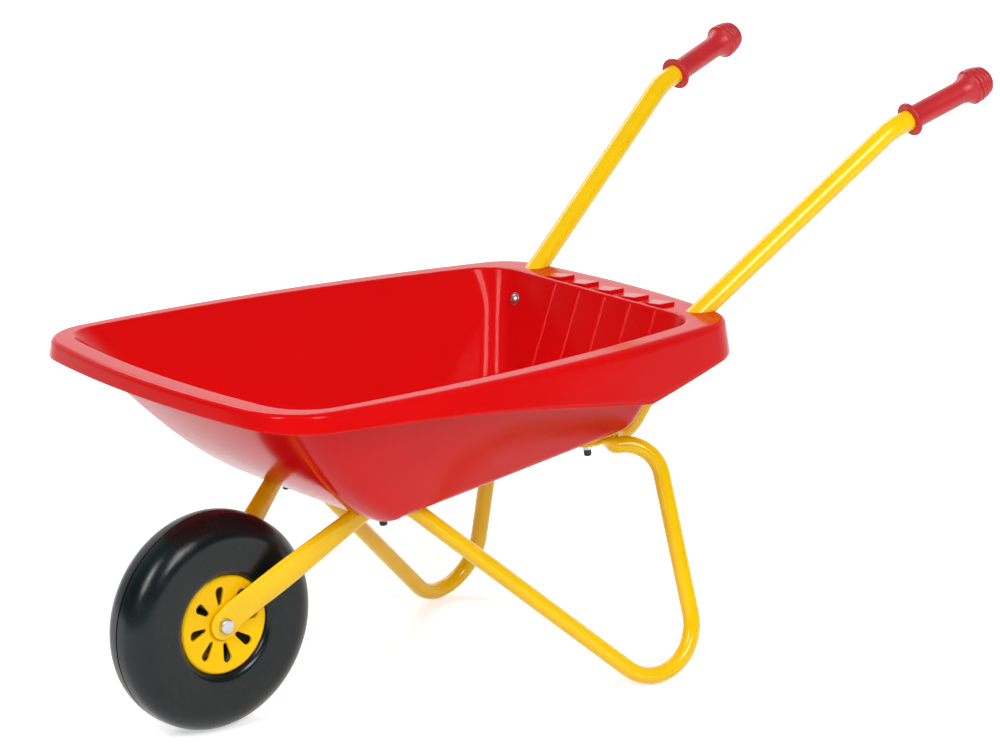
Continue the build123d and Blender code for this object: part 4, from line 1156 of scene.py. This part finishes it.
bore = wheel.sleeveRadius + seatGap
innerBarrel = barrel - wheel.rimWall
hubCorners = [
    (bore, seatGap), (bore, wheel.hubFace), (wheel.hubRadius, wheel.hubFace), (bevelRadius, bevelFace),
]
lipArc = threePointArc(
    (wheel.discRadius - wheel.lipRound, wheel.edgeFace),
    (wheel.discRadius - wheel.lipMiddle, wheel.edgeFace - wheel.lipMiddle),
    (wheel.discRadius, wheel.edgeFace - wheel.lipDrop),
    wheel.lipSteps,
)
barrelRows = [
    (wheel.discRadius, wheel.lipInner), (barrel, wheel.lipInner), (barrel, seatGap),
    (innerBarrel, seatGap), (innerBarrel, wheel.edgeFace - wheel.rimWall),
    (lipRadius, lipFace - wheel.rimWall),
]
backRows = [
    (bevelRadius, bevelFace - wheel.rimWall), (wheel.hubRadius, wheel.hubFace - wheel.rimWall),
    (wheel.hubRadius, seatGap), (bore, seatGap),
]
hubRows = roundedPath(hubCorners, wheel.hubRounds, wheel.hubSteps)
lipRows = np.concatenate([[(lipRadius, lipFace)], lipArc, barrelRows])
for name, side in sides.items():
    grids = [discGrid(rows, side) for rows in (hubRows, lipRows, backRows)]
    grids += [slotSector(angle, side) for angle in spokeAngles]
    makePiece(name + "RimDisc", grids, "wheel_disc", [name + "_rim_disc"], "wheel")
print("rim discs made")


def tyreProfile():
    # bead seat, bead, bulging sidewall, shoulder and crown with a groove in the middle, both halves
    radius, beadRadius, face = wheel.tyreRadius, wheel.beadRadius, wheel.edgeFace
    steps = wheel.tyreArcSteps
    seat, seatEdge = barrel + seatGap, wheel.lipInner - seatGap
    bead = (beadRadius, face - wheel.beadDrop)
    beadMiddle = (beadRadius + wheel.beadMiddle[0], face + wheel.beadMiddle[1])
    beadEnd = (beadRadius + wheel.beadEnd[0], face + wheel.beadEnd[1])
    widest = (wheel.widestRadius, wheel.tyreHalf)
    crown = (radius - wheel.crownDrop, wheel.crownHalf)
    crownMiddle = (radius - wheel.crownMiddle, (wheel.crownHalf + wheel.grooveHalf) / 2)
    grooveTop = (radius, wheel.grooveHalf)
    grooveLip = (radius - wheel.grooveLip[0], wheel.grooveHalf - wheel.grooveLip[1])
    grooveLow = radius - wheel.grooveDepth
    half = np.concatenate([
        [(seat, 0.0), (seat, seatEdge), (beadRadius, seatEdge)],
        threePointArc(bead, beadMiddle, beadEnd, steps["bead"]),
        threePointArc(beadEnd, wheel.sidewall, widest, steps["sidewall"])[1:],
        threePointArc(widest, wheel.shoulder, crown, steps["shoulder"])[1:],
        threePointArc(crown, crownMiddle, grooveTop, steps["crown"])[1:],
        [grooveLip, (grooveLow, wheel.grooveHalf - wheel.grooveIn), (grooveLow, 0.0)],
    ])
    return np.concatenate([half, half[::-1][1:] * np.array([1.0, -1.0])])


tyreRing = lathe(tyreProfile(), axlePoint, leftWay, wheel.tyreSteps)
makePiece("tyreRing", [tyreRing], "tyre", ["tyre"], "wheel", wheel.tyreSharpAngle)
print("tyre made")


# studio: pale floor, soft lamps, white surroundings and the camera

studioValues = {
    "floorSize": 30.0, "floorDrop": 0.0005, "floorTone": 0.86, "floorCloud": 0.99, "floorRoughness": 0.9,
    "cloudScale": 1.2, "cloudAmount": 0.4,
    "floorGlow": (0.5, 1.0), "glowFrom": (0.5, 1.3), "sheetEdge": (-1.3, -0.5),
    "roomDark": 0.08, "roomWhite": 1.3, "roomTop": 0.25,
    "roomBehind": (0.0, 0.7), "roomHigh": (0.35, 0.9),
    "awayFromCamera": (-0.643, -0.766, 0.0), "lampAim": (0.0, 0.0, 0.25),
    "lamps": [
        {"name": "leftBox", "from": (2.52, 0.87, 2.0), "size": (0.6, 1.4), "power": 40.0},
        {"name": "rightBox", "from": (0.4, 2.6, 2.0), "size": (0.9, 1.5), "power": 54.0},
        {"name": "backBox", "from": (-0.6, -2.3, 2.4), "size": (1.8, 1.0), "power": 26.0},
    ],
}
studio = SimpleNamespace(**studioValues)
white = (1.0, 1.0, 1.0, 1.0)


def behindIn(tree, coords):  # how far behind the object, seen from the photo's side
    inputs = {0: coords, 1: studio.awayFromCamera}
    return addNode(tree, "VectorMath", {"operation": "DOT_PRODUCT"}, inputs).outputs["Value"]


def paleFloorMaterial():
    # a plain lit floor; for the camera and in gloss it also glows, white away from the object
    material, tree, shader = newMaterial("paleFloor")
    paint = placeGroup(tree, "colour", {
        "Tone": (*[studio.floorTone] * 3, 1.0),
        "Cloud": (*[studio.floorTone * studio.floorCloud] * 3, 1.0),
        "Scale": studio.cloudScale, "Amount": studio.cloudAmount,
    })
    tree.links.new(paint, shader["Base Color"])
    shader["Roughness"].default_value = studio.floorRoughness
    shader["Specular IOR Level"].default_value = 0.0
    shader["Emission Color"].default_value = white
    path = addNode(tree, "LightPath", {}, {}).outputs
    seen = mathIn(tree, "MAXIMUM", path["Is Camera Ray"], path["Is Glossy Ray"])
    seen = mathIn(tree, "MAXIMUM", seen, path["Is Transmission Ray"])
    coords = coordsIn(tree, "Object")
    far = addNode(tree, "VectorMath", {"operation": "LENGTH"}, {0: coords}).outputs["Value"]
    level = rangeIn(tree, far, studio.glowFrom, studio.floorGlow)
    # in gloss the white sheet ends in front of the object; the camera sees white on every side
    edge = rangeIn(tree, behindIn(tree, coords), studio.sheetEdge)
    wholeSheet = mathIn(tree, "MAXIMUM", edge, path["Is Camera Ray"])
    sheet = mathIn(tree, "MULTIPLY", level, wholeSheet)
    tree.links.new(mathIn(tree, "MULTIPLY", seen, sheet), shader["Emission Strength"])
    return material


def makeFloor():
    half = studio.floorSize / 2
    low = -studio.floorDrop
    mesh = bpy.data.meshes.new("paleFloor")
    corners = [(-half, -half, low), (half, -half, low), (half, half, low), (-half, half, low)]
    mesh.from_pydata(corners, [], [(0, 1, 2, 3)])
    mesh.materials.append(paleFloorMaterial())
    floor = addObject("paleFloor", mesh)


def makeWorld():
    # white low down behind the object, dark on the camera's side, grey overhead; the camera sees white
    world = bpy.data.worlds.new("whiteRoom")
    bpy.context.scene.world = world
    world.use_nodes = True
    tree = world.node_tree
    back = tree.nodes["Background"]
    back.inputs["Color"].default_value = white
    coords = coordsIn(tree, "Generated")
    split = addNode(tree, "SeparateXYZ", {}, {0: coords})
    walls = rangeIn(tree, behindIn(tree, coords), studio.roomBehind, (studio.roomDark, studio.roomWhite))
    high = rangeIn(tree, split.outputs["Z"], studio.roomHigh)
    room = mixValues(tree, high, walls, studio.roomTop)
    cameraRay = addNode(tree, "LightPath", {}, {}).outputs["Is Camera Ray"]
    tree.links.new(mixValues(tree, cameraRay, room, studio.roomWhite), back.inputs["Strength"])


def aimedMatrix(place, backWay, rightWay):
    rows = np.eye(4)
    rows[:3, 0] = rightWay
    rows[:3, 1] = np.cross(backWay, rightWay)
    rows[:3, 2] = backWay
    rows[:3, 3] = place
    return Matrix(rows.tolist())


def makeLamp(lamp):
    light = bpy.data.lights.new(lamp["name"], "AREA")
    light.shape = "RECTANGLE"
    light.size, light.size_y = lamp["size"]
    light.energy = lamp["power"]
    holder = addObject(lamp["name"], light)
    place = np.array(lamp["from"])
    backWay = unit(place - np.array(studio.lampAim))
    rightWay = unit(np.cross(skyWay, backWay))
    holder.matrix_world = aimedMatrix(place, backWay, rightWay)


cameraValues = {
    "azimuth": 139.95, "elevation": 14.31, "roll": 0.74, "distance": 3.2274,
    "target": (0.01545, 0.0, 0.27465), "lens": 124.04, "sensor": 36.0, "clip": (0.05, 60.0),
}
cameraView = SimpleNamespace(**cameraValues)


def makeCamera():
    data = bpy.data.cameras.new("photoCamera")
    data.lens = cameraView.lens
    data.sensor_width = cameraView.sensor
    data.sensor_fit = "HORIZONTAL"
    data.clip_start, data.clip_end = cameraView.clip
    holder = addObject("photoCamera", data)
    turn = math.radians(cameraView.azimuth)
    rise = math.radians(cameraView.elevation)
    roll = math.radians(cameraView.roll)
    levelRun = math.cos(rise)
    backWay = np.array([math.sin(turn) * levelRun, -math.cos(turn) * levelRun, math.sin(rise)])
    level = np.array([math.cos(turn), math.sin(turn), 0.0])
    rightWay = math.cos(roll) * level + math.sin(roll) * np.cross(backWay, level)
    place = np.array(cameraView.target) + backWay * cameraView.distance
    holder.matrix_world = aimedMatrix(place, backWay, rightWay)
    bpy.context.scene.camera = holder


makeFloor()
makeWorld()
for lamp in studio.lamps:
    makeLamp(lamp)
makeCamera()
bpy.context.scene.view_settings.view_transform = "Standard"
print("studio made")
